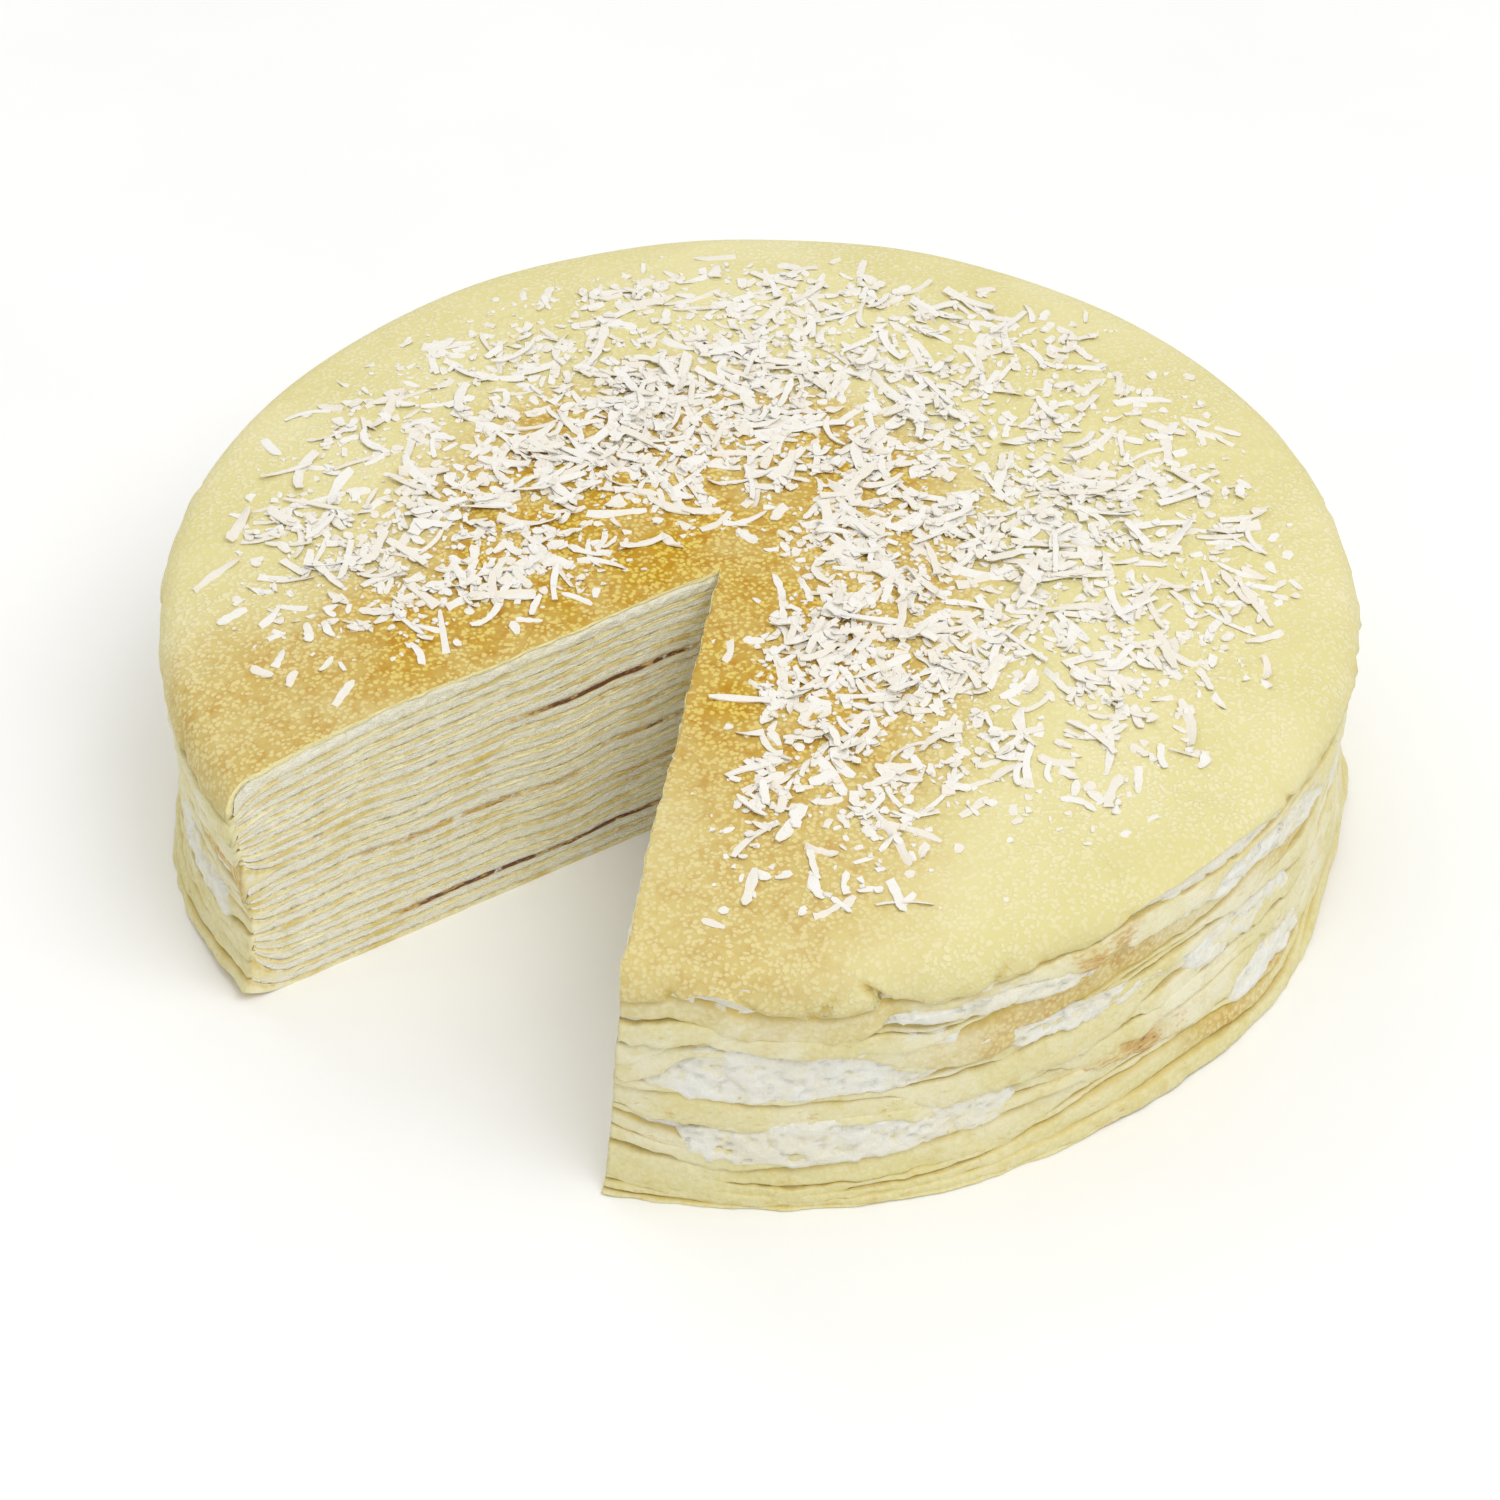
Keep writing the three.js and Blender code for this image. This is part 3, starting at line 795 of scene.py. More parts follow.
def smear_patch(number, centre, width, height, half, slope):
    """A closed cushion over a patch of the side. The outer sheet lies as far out as the side, plus a
    dome that ends at an ellipse-like brim, plus noise; the inner sheet lies well inside the cake."""
    columns = int(2 * math.radians(width) * CAKE_RADIUS / SMEAR_CELL)
    rows = int(2 * half / SMEAR_CELL)
    u = np.linspace(-1, 1, columns + 1)[None, :]
    v = np.linspace(-1, 1, rows + 1)[:, None]
    theta = np.radians(centre + width * u + 0 * v)
    z = np.clip(height - slope * width * u + half * v, 0.3, 60)
    lumps = layered_noise(theta * 30, z / 2.2, number + 0 * z, 41, 4)
    pits = smooth_step(0.15, 0.6, layered_noise(theta * 62, z / 1.1, number + 0 * z, 47, 2))
    holes = layered_noise(theta * 16, z / 3.5, number + 0 * z, 45, 4)
    brim = (np.abs(u) ** 4 + np.abs(v) ** 4) ** 0.25
    cover = 1.7 * (1 - u**2 - np.abs(v) ** 2.5) - 3.4 * smooth_step(0.8, 1, brim)
    thick = np.minimum(cover + 1.9 * holes, SMEAR_THICKEST) + 0.8 * lumps - 0.6 * pits
    limit = np.where(z > UNDER_DRAPE, drape_radius(LAYERS - 1, theta) - 0.6, CAKE_RADIUS + 4)
    outer = np.minimum(side_radius(theta, z) + 0.75, limit) + thick
    inner = outer.min() - SMEAR_DEPTH + 0 * outer
    sheets = [np.stack([r * np.cos(theta), r * np.sin(theta), z], axis=-1) for r in (outer, inner)]
    grid = np.arange((rows + 1) * (columns + 1)).reshape(rows + 1, columns + 1)
    front = open_faces(grid)
    back = open_faces(grid + grid.size)[:, ::-1]
    rim = np.concatenate([grid[0, :-1], grid[:-1, -1], grid[-1, :0:-1], grid[:0:-1, 0]])
    return np.concatenate([s.reshape(-1, 3) for s in sheets]), np.concatenate(
        [front, back, wall_faces(np.stack([rim + grid.size, rim]))])


def make_smears():
    """All patches of smeared cream in one mesh."""
    vertices = []
    faces = []
    count = 0
    for number, place in enumerate(SMEARS):
        points, triangles = smear_patch(number, *place)
        vertices.append(points)
        faces.append(triangles + count)
        count += len(points)
    vertices = np.concatenate(vertices)
    return make_piece("cream_smears", vertices, np.concatenate(faces), {"on_cut": np.zeros(len(vertices))})


smears = make_smears()
print("smears of cream:", len(smears.data.polygons), "triangles")

# %% [markdown]
# ## The top crepe
#
# The top crepe is seen all over, so its sheet is a fine fan about the slice's tip: rings every 0.8 mm,
# each ring with fewer columns as the fan narrows. Past the last flat ring it rolls over the shoulder and
# hangs down the side as a skin. Slow wrinkles and small dents are added to its height.

# %% Top sheet
TOP_COLUMNS = 824
TOP_RING_STEP = 0.8
SHOULDER_ROWS = 9


def wrinkles(x, y):
    """Small height changes of the top crepe: soft dents, wrinkles that run with the cut, and grain."""
    soft = 0.3 * layered_noise(x / 13, y / 13, 0 * x, 61, 3)
    along = x * math.cos(LEFT_CUT) + y * math.sin(LEFT_CUT)
    across = -x * math.sin(LEFT_CUT) + y * math.cos(LEFT_CUT)
    bent = across / 9 + 0.25 * layered_noise(x / 9, y / 9, 0 * x, 63)
    ridge = 1 - np.abs(value_noise(bent, along / 40, 0, 62))
    return soft + 0.35 * smooth_step(0.8, 1.0, ridge) + 0.05 * value_noise(x / 1.4, y / 1.4, 0, 64)


def top_surface(x, y):
    """Height of the top crepe's upper face."""
    r = np.hypot(x, y)
    fade = 1 - smooth_step(CAKE_RADIUS - 8, CAKE_RADIUS - 1, r)
    return boundary_heights(LAYERS, x, y) + wrinkles(x, y) * fade


# Creases of the hanging skin: direction, lean in degrees per mm, half width in degrees, depth in mm.
CREASES = (
    (262.8, 0.25, 0.6, 2.2),
    (281.0, 0.5, 0.5, 3.4),
    (275.5, -0.5, 0.5, 1.2),
    (270.0, 0.6, 0.45, 0.9),
    (291.0, -0.4, 0.5, 1.0),
    (306.0, 0.3, 0.6, 1.2),
    (328.0, 0.4, 0.6, 1.6),
    (12.0, 0.4, 0.6, 1.8),
    (66.0, -0.3, 0.6, 1.5),
    (118.0, 0.4, 0.6, 1.7),
    (163.0, -0.3, 0.6, 1.5),
    (202.0, 0.4, 0.6, 1.6),
)
# Folds go in no further than this in mm, so that the cream below stays covered, but the two deepest
# creases may: their direction and half width in degrees, and how much deeper they go in mm.
LEAST_FOLD = -0.85
DEEP_CREASES = (
    (281, 4, 2.4),
    (262.8, 3, 2.4),
)


def hang_folds(theta, down):
    """How far the hanging skin stands out: upright folds and lumps that grow from the shoulder to the
    edge, less a few sharp creases."""
    degrees = np.degrees(theta)
    folds = 0.4 * value_noise(theta * 9, 0, 0, 71) + 0.8 * layered_noise(theta * 17, down / 6, 0 * theta, 72)
    folds = folds + 0.4 * smooth_step(3, 7, down) * layered_noise(theta * 48, down / 1.8, 0 * theta, 76, 2)
    for centre, lean, width, depth in CREASES:
        away = half_turn_range(degrees - centre - lean * (down - 6))
        folds = folds - depth * np.exp(-((away / width) ** 2))
    deepest = LEAST_FOLD - sum(mm * hump(degrees, centre, width) for centre, width, mm in DEEP_CREASES)
    return np.maximum(folds, deepest) * smooth_step(0.5, 6, down)


# Torn places of the hanging skin's lower edge: direction and half width in degrees, height in mm.
TORN_PLACES = (
    (266.5, 3.5, 2.6),
    (312, 10, 1.2),
)
HIGHEST_SKIN_EDGE = 52.5


def skin_edge(theta):
    """Height of the hanging skin's lower edge: the drape's edge, torn up a little in places."""
    degrees = np.degrees(theta)
    ragged = 0.8 * value_noise(theta * 14, 0, 0, 73) + 0.35 * value_noise(theta * 45, 0, 0, 74)
    torn_up = sum(mm * hump(degrees, centre, width) for centre, width, mm in TORN_PLACES)
    return np.minimum(drape_edge(theta) + ragged + torn_up, HIGHEST_SKIN_EDGE)


def top_ring(share, t, columns):
    """One ring of the fan. share is the way from the tip to the shoulder; t runs over the shoulder,
    where no ring lies lower than the torn edge that it leads to."""
    across = np.linspace(0, 1, columns + 1)
    direction = direction_of(across, TOP_HEIGHT)
    theta = angle_about_axis(direction)
    radius = drape_radius(LAYERS, theta) - SHOULDER_WIDTH * (1 - t)
    reach = reach_of(direction, radius) * share
    x, y = from_tip(direction, reach)
    edge = skin_edge(theta)
    z = np.maximum(top_surface(x, y), edge + 4 * (1 - t)) if t < 1 else edge
    down = np.maximum(0, top_height(x, y) - z) if t > 0 else 0 * x
    out = hang_folds(theta, down)
    x, y = x + out * np.cos(theta), y + out * np.sin(theta)
    for cut, side in ((LEFT_CUT, -1), (RIGHT_CUT, 1)):
        away, along = cut_distance(x, y, cut)
        jagged = layered_noise(along / 3.1, side + 0 * along, 0 * along, 75, 3)
        torn = 0.45 * jagged * smooth_step(1, 4, along) * np.exp(-away / 1.2)
        x, y = x + side * torn * math.sin(cut), y - side * torn * math.cos(cut)
        z = z - 0.15 * np.exp(-away / 0.7) * smooth_step(1, 4, along)
    return np.column_stack([x, y, z])


def top_sheet():
    """All rings of the fan from the tip to the hanging edge, with triangles, and the rings' numbers."""
    flat_rings = int(reach_of(RIGHT_CUT, CAKE_RADIUS - SHOULDER_WIDTH) / TOP_RING_STEP)
    rolled = [math.sin(0.5 * math.pi * k / SHOULDER_ROWS) for k in range(1, SHOULDER_ROWS + 1)]
    turns = [way ** (2 / SHOULDER_POWER) for way in rolled]
    steps = [(k / flat_rings, 0.0) for k in range(1, flat_rings + 1)] + [(1.0, t) for t in turns]
    vertices = [np.array([[TIP[0], TIP[1], float(top_surface(TIP[:1], TIP[1:])[0])]])]
    faces = []
    rings = []
    number = 1
    for share, t in steps:
        halvings = int(np.clip(np.floor(-np.log2(max(share, 0.01))), 0, 4))
        ring = top_ring(share, t, TOP_COLUMNS >> halvings)
        numbers = number + np.arange(len(ring))
        number += len(ring)
        vertices.append(ring)
        if rings:
            faces.append(zip_rings(numbers, rings[-1], np.linspace(0, 1, len(numbers)),
                                   np.linspace(0, 1, len(rings[-1]))))
        else:
            faces.append(np.column_stack([np.zeros(len(ring) - 1, int), numbers[:-1], numbers[1:]]))
        rings.append(numbers)
    return np.concatenate(vertices), np.concatenate(faces), rings


# Where the top crepe is golden: the middle of a round patch, and strips along the two cuts with their
# direction, length and half width.
GOLDEN_MIDDLE = (-14, 2)
GOLDEN_STRIPS = (
    (LEFT_CUT, 112, 38),
    (RIGHT_CUT, 80, 48),
)


def golden_strip(x, y, direction, length, width):
    """A strip from the tip along a cut: 1 near the cut, fading sideways, and by half to its far end."""
    along_x, along_y = math.cos(direction), math.sin(direction)
    along = np.clip((x - TIP[0]) * along_x + (y - TIP[1]) * along_y, 0, length)
    away = np.hypot(x - TIP[0] - along * along_x, y - TIP[1] - along * along_y)
    fade = 1 - 0.5 * smooth_step(0.45 * length, length, along)
    return fade * (1 - smooth_step(width - 22, width + 16, away))


def golden_share(x, y):
    """How browned the top crepe is, 0 to 1: the largest of the patch and the strips, made blotchy."""
    patch = 1 - smooth_step(36, 70, np.hypot(x - GOLDEN_MIDDLE[0], y - GOLDEN_MIDDLE[1]))
    for strip in GOLDEN_STRIPS:
        patch = np.maximum(patch, golden_strip(x, y, *strip))
    blotch = layered_noise(x / 22, y / 22, 0 * x, 81, 4)
    return np.clip(patch * (0.92 + 0.5 * blotch), 0, 1)


# %% Top crepe as one closed piece
TOP_WALL_ROWS = np.linspace(0, 1, 7)


def make_top_crepe():
    """The top sheet, its wall of 1.2 mm, and the floor that lies on the cream."""
    sheet, sheet_faces, rings = top_sheet()
    right_line = np.array([0] + [ring[0] for ring in rings[:-1]])
    left_line = np.array([ring[-1] for ring in rings[:-1]])[::-1]
    loop = np.concatenate([right_line, rings[-1], left_line])
    high = sheet[loop]
    theta = np.arctan2(high[:, 1], high[:, 0])
    on_edge = np.zeros(len(loop))
    on_edge[len(right_line):len(right_line) + len(rings[-1])] = 1
    inward = DRAPE_THICKNESS * smooth_step(0, SHOULDER_WIDTH, np.hypot(high[:, 0], high[:, 1])
                                           - CAKE_RADIUS + SHOULDER_WIDTH + 1)
    low = high.copy()
    low[:, 0] -= inward * np.cos(theta)
    low[:, 1] -= inward * np.sin(theta)
    under = boundary_heights(LAYERS - 1, low[:, 0], low[:, 1])
    low[:, 2] = np.where(on_edge > 0, high[:, 2], np.minimum(under, high[:, 2] - 0.35))
    v = TOP_WALL_ROWS[:-1, None]
    rows = low[None] + (high - low)[None] * v[..., None]
    rows[..., 2] -= 0.3 * np.sin(np.pi * v) * on_edge
    is_right = np.arange(len(loop)) < len(right_line)
    normal = cut_normals(is_right)
    walked = np.cumsum(np.append(0, np.hypot(*np.diff(high[:, :2], axis=0).T)))
    push = 0.3 * (1 - on_edge) * np.sin(np.pi * v) * (0.6 + layered_noise(walked / 3, v * 2, 0 * walked, 91))
    rows[..., 0] += push * normal[:, 0]
    rows[..., 1] += push * normal[:, 1]
    count = len(sheet)
    grid = count + np.arange(rows.shape[0] * rows.shape[1]).reshape(rows.shape[:2])
    wall = np.concatenate([grid, loop[None]])
    floor_points, floor_faces = lid(LAYERS - 1, rows[0], grid[0], count + grid.size, 0.0)
    vertices = np.concatenate([sheet, rows.reshape(-1, 3), floor_points])
    faces = np.concatenate([sheet_faces, wall_faces(wall), floor_faces[:, ::-1]])
    share = np.concatenate([np.ones(count), np.repeat(TOP_WALL_ROWS[:-1], len(loop)),
                            np.zeros(len(floor_points))])
    golden = golden_share(vertices[:, 0], vertices[:, 1]) * smooth_step(0.7, 1.0, share)
    down = np.maximum(0, top_height(vertices[:, 0], vertices[:, 1]) - vertices[:, 2])
    # Painted shade: the creases of the hanging skin get a mark that the material paints deeper yellow.
    painted_shade = smooth_step(0.1, -1.1, hang_folds(np.arctan2(vertices[:, 1], vertices[:, 0]), down))
    marks = {"golden": golden, "hang": smooth_step(0, 7, down), "painted_shade": painted_shade,
             "on_cut": 1 - smooth_step(0.8, 1.0, share)}
    return make_piece("crepe_20_top", vertices, faces, marks)


top_crepe = make_top_crepe()
print("top crepe:", len(top_crepe.data.polygons), "triangles")

# %% [markdown]
# ## Shredded coconut
#
# Coconut is grated into flat curved shreds, with short chips and crumbs between them. They are strewn
# one by one: each lies on what is high below it, crepe or coconut, and sinks in a little, so heaps grow
# as they do when a cook sprinkles. A height map of the top keeps track. The shapes are then made for
# all at once.

# %% Where coconut lies
def blob(x, y, cx, cy, rx, ry):
    """A soft round patch: 1 at its centre, falling as a bell curve."""
    return np.exp(-(((x - cx) / rx) ** 2 + ((y - cy) / ry) ** 2))


def inside_gap(x, y, margin):
    """Whether points lie over the missing slice, or nearer to one of its two cuts than the margin."""
    left = -(x - TIP[0]) * math.sin(LEFT_CUT) + (y - TIP[1]) * math.cos(LEFT_CUT)
    right = -(x - TIP[0]) * math.sin(RIGHT_CUT) + (y - TIP[1]) * math.cos(RIGHT_CUT)
    return (left > -margin) & (right < margin)


# Patches of coconut: how thick, the middle, and the half widths along x and y.
PATCHES = (
    (0.95, -62, 4, 36, 22),
    (0.7, -20, 38, 36, 20),
    (0.95, 24, -14, 28, 30),
    (0.8, 8, -56, 22, 27),
    (0.75, 68, 8, 36, 34),
    (0.3, 58, -44, 26, 20),
    (0.62, 5, 68, 78, 30),
)
THINNEST_COVER = 0.12


def sprinkled(x, y):
    """How thickly coconut lies at a point: patches, thinned at the rim, at the tip and along the cuts."""
    cover = sum(amount * blob(x, y, *patch) for amount, *patch in PATCHES) + THINNEST_COVER
    clumps = 0.62 + 0.75 * layered_noise(x / 11, y / 11, 0 * x, 101, 3)
    rim = 1 - smooth_step(88, 108, np.hypot(x, y))
    left, left_along = cut_distance(x, y, LEFT_CUT)
    right, _ = cut_distance(x, y, RIGHT_CUT)
    clear = smooth_step(4, 13 + 0.08 * left_along.clip(0, 90), left) * smooth_step(7, 17, right)
    return np.clip(cover, 0, 1) * np.clip(clumps, 0.08, 1.3) * rim * (0.02 + 0.98 * clear)


print("share covered 40 mm to the right:", np.round(sprinkled(np.array([40.0]), np.array([0.0])), 2))


# %% Strewing
# Kind: how many, length range, width range, thickness range, largest half bend, stations along it.
COCONUT_KINDS = {
    "shreds": (1250, (4.0, 13.0), (1.1, 2.4), (0.2, 0.4), 0.8, 7),
    "chips": (2000, (1.6, 4.2), (1.1, 2.4), (0.2, 0.4), 0.35, 4),
    "crumbs": (2600, (0.6, 1.6), (0.5, 1.3), (0.2, 0.4), 0.1, 3),
}
MAP_STEP = 0.5
MAP_HALF = 118.0
TRIES = 120000
HIGHEST_HEAP = 3.0
RIM_CLEARANCE = 3
STEEPEST = 0.4
# A piece rests on the height that this share of the map's points below it stay under, and sinks in by
# this share of its thickness.
RESTS_ON = 80
SINKS_IN = 0.3


def bent_line(x, y, turn, bend, length, u):
    """Points of an arc through a place: u runs from -1 to 1 along it, and the heading from turn - bend
    to turn + bend. Also gives the heading."""
    heading = turn + bend * u
    px = x + 0.5 * length * (np.sin(heading) - np.sin(turn)) / bend
    py = y - 0.5 * length * (np.cos(heading) - np.cos(turn)) / bend
    return px, py, heading


def map_cells(places, side):
    """Numbers of the height map's cells that places along one axis lie in."""
    return ((places + MAP_HALF) / MAP_STEP).astype(int).clip(1, side - 2)


def strew_coconut():
    """Drops the pieces in a mixed order and returns, for each kind, their numbers as a table with the
    columns x, y, turn, length, width, thickness, bend, height, slope, curl, twist and shade."""
    rng = np.random.default_rng(7)
    side = int(2 * MAP_HALF / MAP_STEP)
    line = -MAP_HALF + (np.arange(side) + 0.5) * MAP_STEP
    gx, gy = np.meshgrid(line, line, indexing="ij")
    ground = top_surface(gx.ravel(), gy.ravel()).reshape(side, side)
    pile = ground.copy()
    tables = {kind: [] for kind in COCONUT_KINDS}
    order = np.concatenate([np.full(v[0], k) for k, v in enumerate(COCONUT_KINDS.values())])
    rng.shuffle(order)
    kinds = list(COCONUT_KINDS)
    tries = rng.uniform(-CAKE_RADIUS, CAKE_RADIUS, (TRIES, 2))
    tries = tries[rng.random(len(tries)) < sprinkled(tries[:, 0], tries[:, 1])]
    print("places for coconut:", len(tries), "for", len(order))
    for n, k in enumerate(order[:len(tries)]):
        _, lengths, widths, thicks, bend_most, _ = COCONUT_KINDS[kinds[k]]
        x, y = tries[n]
        length = lengths[0] + (lengths[1] - lengths[0]) * rng.random() ** 1.9
        width, thick = rng.uniform(*widths), rng.uniform(*thicks)
        turn = rng.uniform(0, TURN)
        bend = bend_most * rng.uniform(-1, 1) * rng.random() ** 0.6 + 1e-3
        u = np.linspace(-1, 1, 2 * max(2, int(length / 1.2)) + 1)
        px, py, _ = bent_line(x, y, turn, bend, length, u)
        if inside_gap(px, py, 0.5 * width).any():
            continue
        ix = map_cells(px, side)
        iy = map_cells(py, side)
        under = pile[ix, iy]
        slope = float(np.clip(np.polyfit(0.5 * length * u, under, 1)[0], -STEEPEST, STEEPEST))
        base = float(np.percentile(under - slope * 0.5 * length * u, RESTS_ON)) - SINKS_IN * thick
        bare_ground = float(ground[ix, iy].mean())
        over_rim = np.hypot(x, y) + 0.5 * length > CAKE_RADIUS - RIM_CLEARANCE
        if base - bare_ground > HIGHEST_HEAP or over_rim:
            continue
        curl = rng.uniform(0, 1) ** 3 * 0.09 * length
        height = base + 0.5 * thick
        top = height + slope * 0.5 * length * u + 0.35 * thick
        for dx in (-1, 0, 1):
            for dy in (-1, 0, 1):
                if abs(dx) + abs(dy) < 2 or width > 1.6:
                    np.maximum.at(pile, (ix + dx, iy + dy), top)
        twist = rng.normal(0, 0.18)
        row = (x, y, turn, length, width, thick, bend, height, slope, curl, twist, rng.random())
        tables[kinds[k]].append(row)
    return {kind: np.array(rows) for kind, rows in tables.items()}


# %% Coconut shapes
# A strip's section: six points as shares of half its width and of half its thickness.
STRIP_SECTION = np.array([(0.95, 0.75), (0.1, 1.0), (-0.85, 0.7), (-1.0, -0.7), (-0.1, -1.0), (0.9, -0.75)])
SHRED_RING = len(STRIP_SECTION)


def coconut_mesh(table, stations, seed):
    """Closed shreds from a table: a bent line through each, and round it a flat ring of six points
    whose width swells and shrinks at random; each end closes on a point."""
    rng = np.random.default_rng(seed)
    x, y, turn, length, width, thick, bend, height, slope, curl, twist, shade = (c[:, None] for c in table.T)
    count = len(table)
    u = np.linspace(-1, 1, stations)[None]
    px, py, heading = bent_line(x, y, turn, bend, length, u)
    pz = height + slope * 0.5 * length * u + curl * u * u
    at_end = np.abs(u) > 0.99
    taper = np.where(at_end, rng.uniform(0.4, 1.05, (count, stations)), 1.0)
    half_width = 0.5 * width * taper * rng.uniform(0.74, 1.12, (count, stations))
    half_thick = 0.5 * thick * np.where(at_end, 0.75, 1.0) * rng.uniform(0.8, 1.2, (count, stations))
    roll = twist + rng.normal(0, 0.35, (count, 1)) * u
    across, upward = STRIP_SECTION.T
    flat = half_width[..., None] * across * rng.uniform(0.85, 1.1, (count, stations, SHRED_RING))
    tall = half_thick[..., None] * upward
    sideways = flat * np.cos(roll)[..., None] - tall * np.sin(roll)[..., None]
    lifted = flat * np.sin(roll)[..., None] + tall * np.cos(roll)[..., None]
    ring = np.stack([px[..., None] - sideways * np.sin(heading)[..., None],
                     py[..., None] + sideways * np.cos(heading)[..., None],
                     pz[..., None] + lifted], axis=-1)
    ends = np.stack([ring[:, 0].mean(1), ring[:, -1].mean(1)], axis=1)
    per_piece = stations * SHRED_RING + 2
    vertices = np.concatenate([ring.reshape(count, -1, 3), ends], axis=1).reshape(-1, 3)
    k = np.arange(SHRED_RING)
    after = (k + 1) % SHRED_RING
    faces = []
    for s in range(stations - 1):
        low, high = s * SHRED_RING, (s + 1) * SHRED_RING
        faces.append(np.column_stack([low + k, high + after, high + k]))
        faces.append(np.column_stack([low + k, low + after, high + after]))
    last = (stations - 1) * SHRED_RING
    faces.append(np.column_stack([np.full(SHRED_RING, per_piece - 2), after, k]))
    faces.append(np.column_stack([np.full(SHRED_RING, per_piece - 1), last + k, last + after]))
    faces = np.concatenate(faces)
    faces = (faces[None] + per_piece * np.arange(count)[:, None, None]).reshape(-1, 3)
    return vertices, faces, np.repeat(shade[:, 0], per_piece)


coconut_pieces = []
for number, (kind, table) in enumerate(strew_coconut().items()):
    vertices, faces, shade = coconut_mesh(table, COCONUT_KINDS[kind][-1], 50 + number)
    piece = make_piece(f"coconut_{kind}", vertices, faces, {"shade": shade}, smooth=False)
    coconut_pieces.append(piece)
    print(kind, len(table), "pieces,", len(faces), "triangles")
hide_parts("crepe_20")

# %% [markdown]
# ## Materials
#
# Each material is a small graph of nodes on the object's own coordinates, so it needs no picture. What
# only the shapes know, such as how browned a place is, reaches the graph as a number kept with each
# point. The patterns that two materials share are node groups with named inputs and outputs.

# %% Node helpers
def srgb(r, g, b):
    """A colour given as screen values from 0 to 255, turned into the linear values that shaders use."""
    linear = [v / 255 / 12.92 if v < 10 else ((v / 255 + 0.055) / 1.055) ** 2.4 for v in (r, g, b)]
    return (*linear, 1.0)


def add_node(tree, kind, inputs, **settings):
    """Adds a node, makes its settings, and sets or links each input by its name or number."""
    made = tree.nodes.new(kind)
    for key, value in settings.items():
        setattr(made, key, value)
    for key, value in inputs.items():
        if isinstance(value, bpy.types.NodeSocket):
            tree.links.new(value, made.inputs[key])
        else:
            made.inputs[key].default_value = value
    return made


def noise(tree, vector, scale, detail=3.0, roughness=0.55):
    """Fractal noise from 0 to 1; scale is in waves per metre."""
    made = add_node(tree, "ShaderNodeTexNoise", {"Vector": vector, "Scale": scale, "Detail": detail,
                                                 "Roughness": roughness})
    return made.outputs[0]


def span(tree, value, low, high, to_low=0.0, to_high=1.0):
    """A smooth step that takes the range low to high to the range to_low to to_high."""
    made = add_node(tree, "ShaderNodeMapRange", {"Value": value, "From Min": low, "From Max": high,
                                                 "To Min": to_low, "To Max": to_high},
                    interpolation_type="SMOOTHSTEP")
    return made.outputs[0]


def maths(tree, operation, a, b):
    """One sum of the named kind on two numbers."""
    return add_node(tree, "ShaderNodeMath", {0: a, 1: b}, operation=operation).outputs[0]


def product(tree, a, b):
    """One number times another."""
    return maths(tree, "MULTIPLY", a, b)


def scaled(tree, vector, factors):
    """A vector with each of its three numbers multiplied by a factor."""
    return add_node(tree, "ShaderNodeVectorMath", {0: vector, 1: factors}, operation="MULTIPLY").outputs[0]


def between(tree, factor, a, b):
    """A number between a and b."""
    return add_node(tree, "ShaderNodeMix", {0: factor, 2: a, 3: b}).outputs[0]


def blend(tree, factor, a, b):
    """A colour between a and b."""
    return add_node(tree, "ShaderNodeMix", {0: factor, 6: a, 7: b}, data_type="RGBA").outputs[2]


def attribute(tree, name):
    """A number kept with each point of the mesh."""
    return add_node(tree, "ShaderNodeAttribute", {}, attribute_name=name).outputs["Fac"]


def cells(tree, vector, scale):
    """Distances to the nearest middle in a pattern of cells; scale is in cells per metre."""
    return add_node(tree, "ShaderNodeTexVoronoi", {"Vector": vector, "Scale": scale}).outputs["Distance"]


def noise_vector(tree, vector, scale):
    """Three noises at once, centred on 0, to push a pattern about."""
    made = add_node(tree, "ShaderNodeTexNoise", {"Vector": vector, "Scale": scale, "Detail": 2.0})
    return add_node(tree, "ShaderNodeVectorMath", {0: made.outputs["Color"], 1: (0.5,) * 3},
                    operation="SUBTRACT").outputs[0]


# %% Node groups
def make_group(name, inputs, outputs):
    """An empty node group with the named inputs and outputs, given as name: socket type."""
    tree = bpy.data.node_groups.new(name, "ShaderNodeTree")
    for key, kind in inputs.items():
        tree.interface.new_socket(key, in_out="INPUT", socket_type=kind)
    for key, kind in outputs.items():
        tree.interface.new_socket(key, in_out="OUTPUT", socket_type=kind)
    return tree, tree.nodes.new("NodeGroupInput").outputs, tree.nodes.new("NodeGroupOutput").inputs


FLOAT = "NodeSocketFloat"
COLOUR = "NodeSocketColor"
VECTOR = "NodeSocketVector"
GROUP_OUTPUTS = {"Color": COLOUR, "Height": FLOAT, "Roughness": FLOAT}


def use_group(tree, group, inputs):
    """Places a node group and links what goes into it; gives its outputs."""
    return add_node(tree, "ShaderNodeGroup", inputs, node_tree=group).outputs


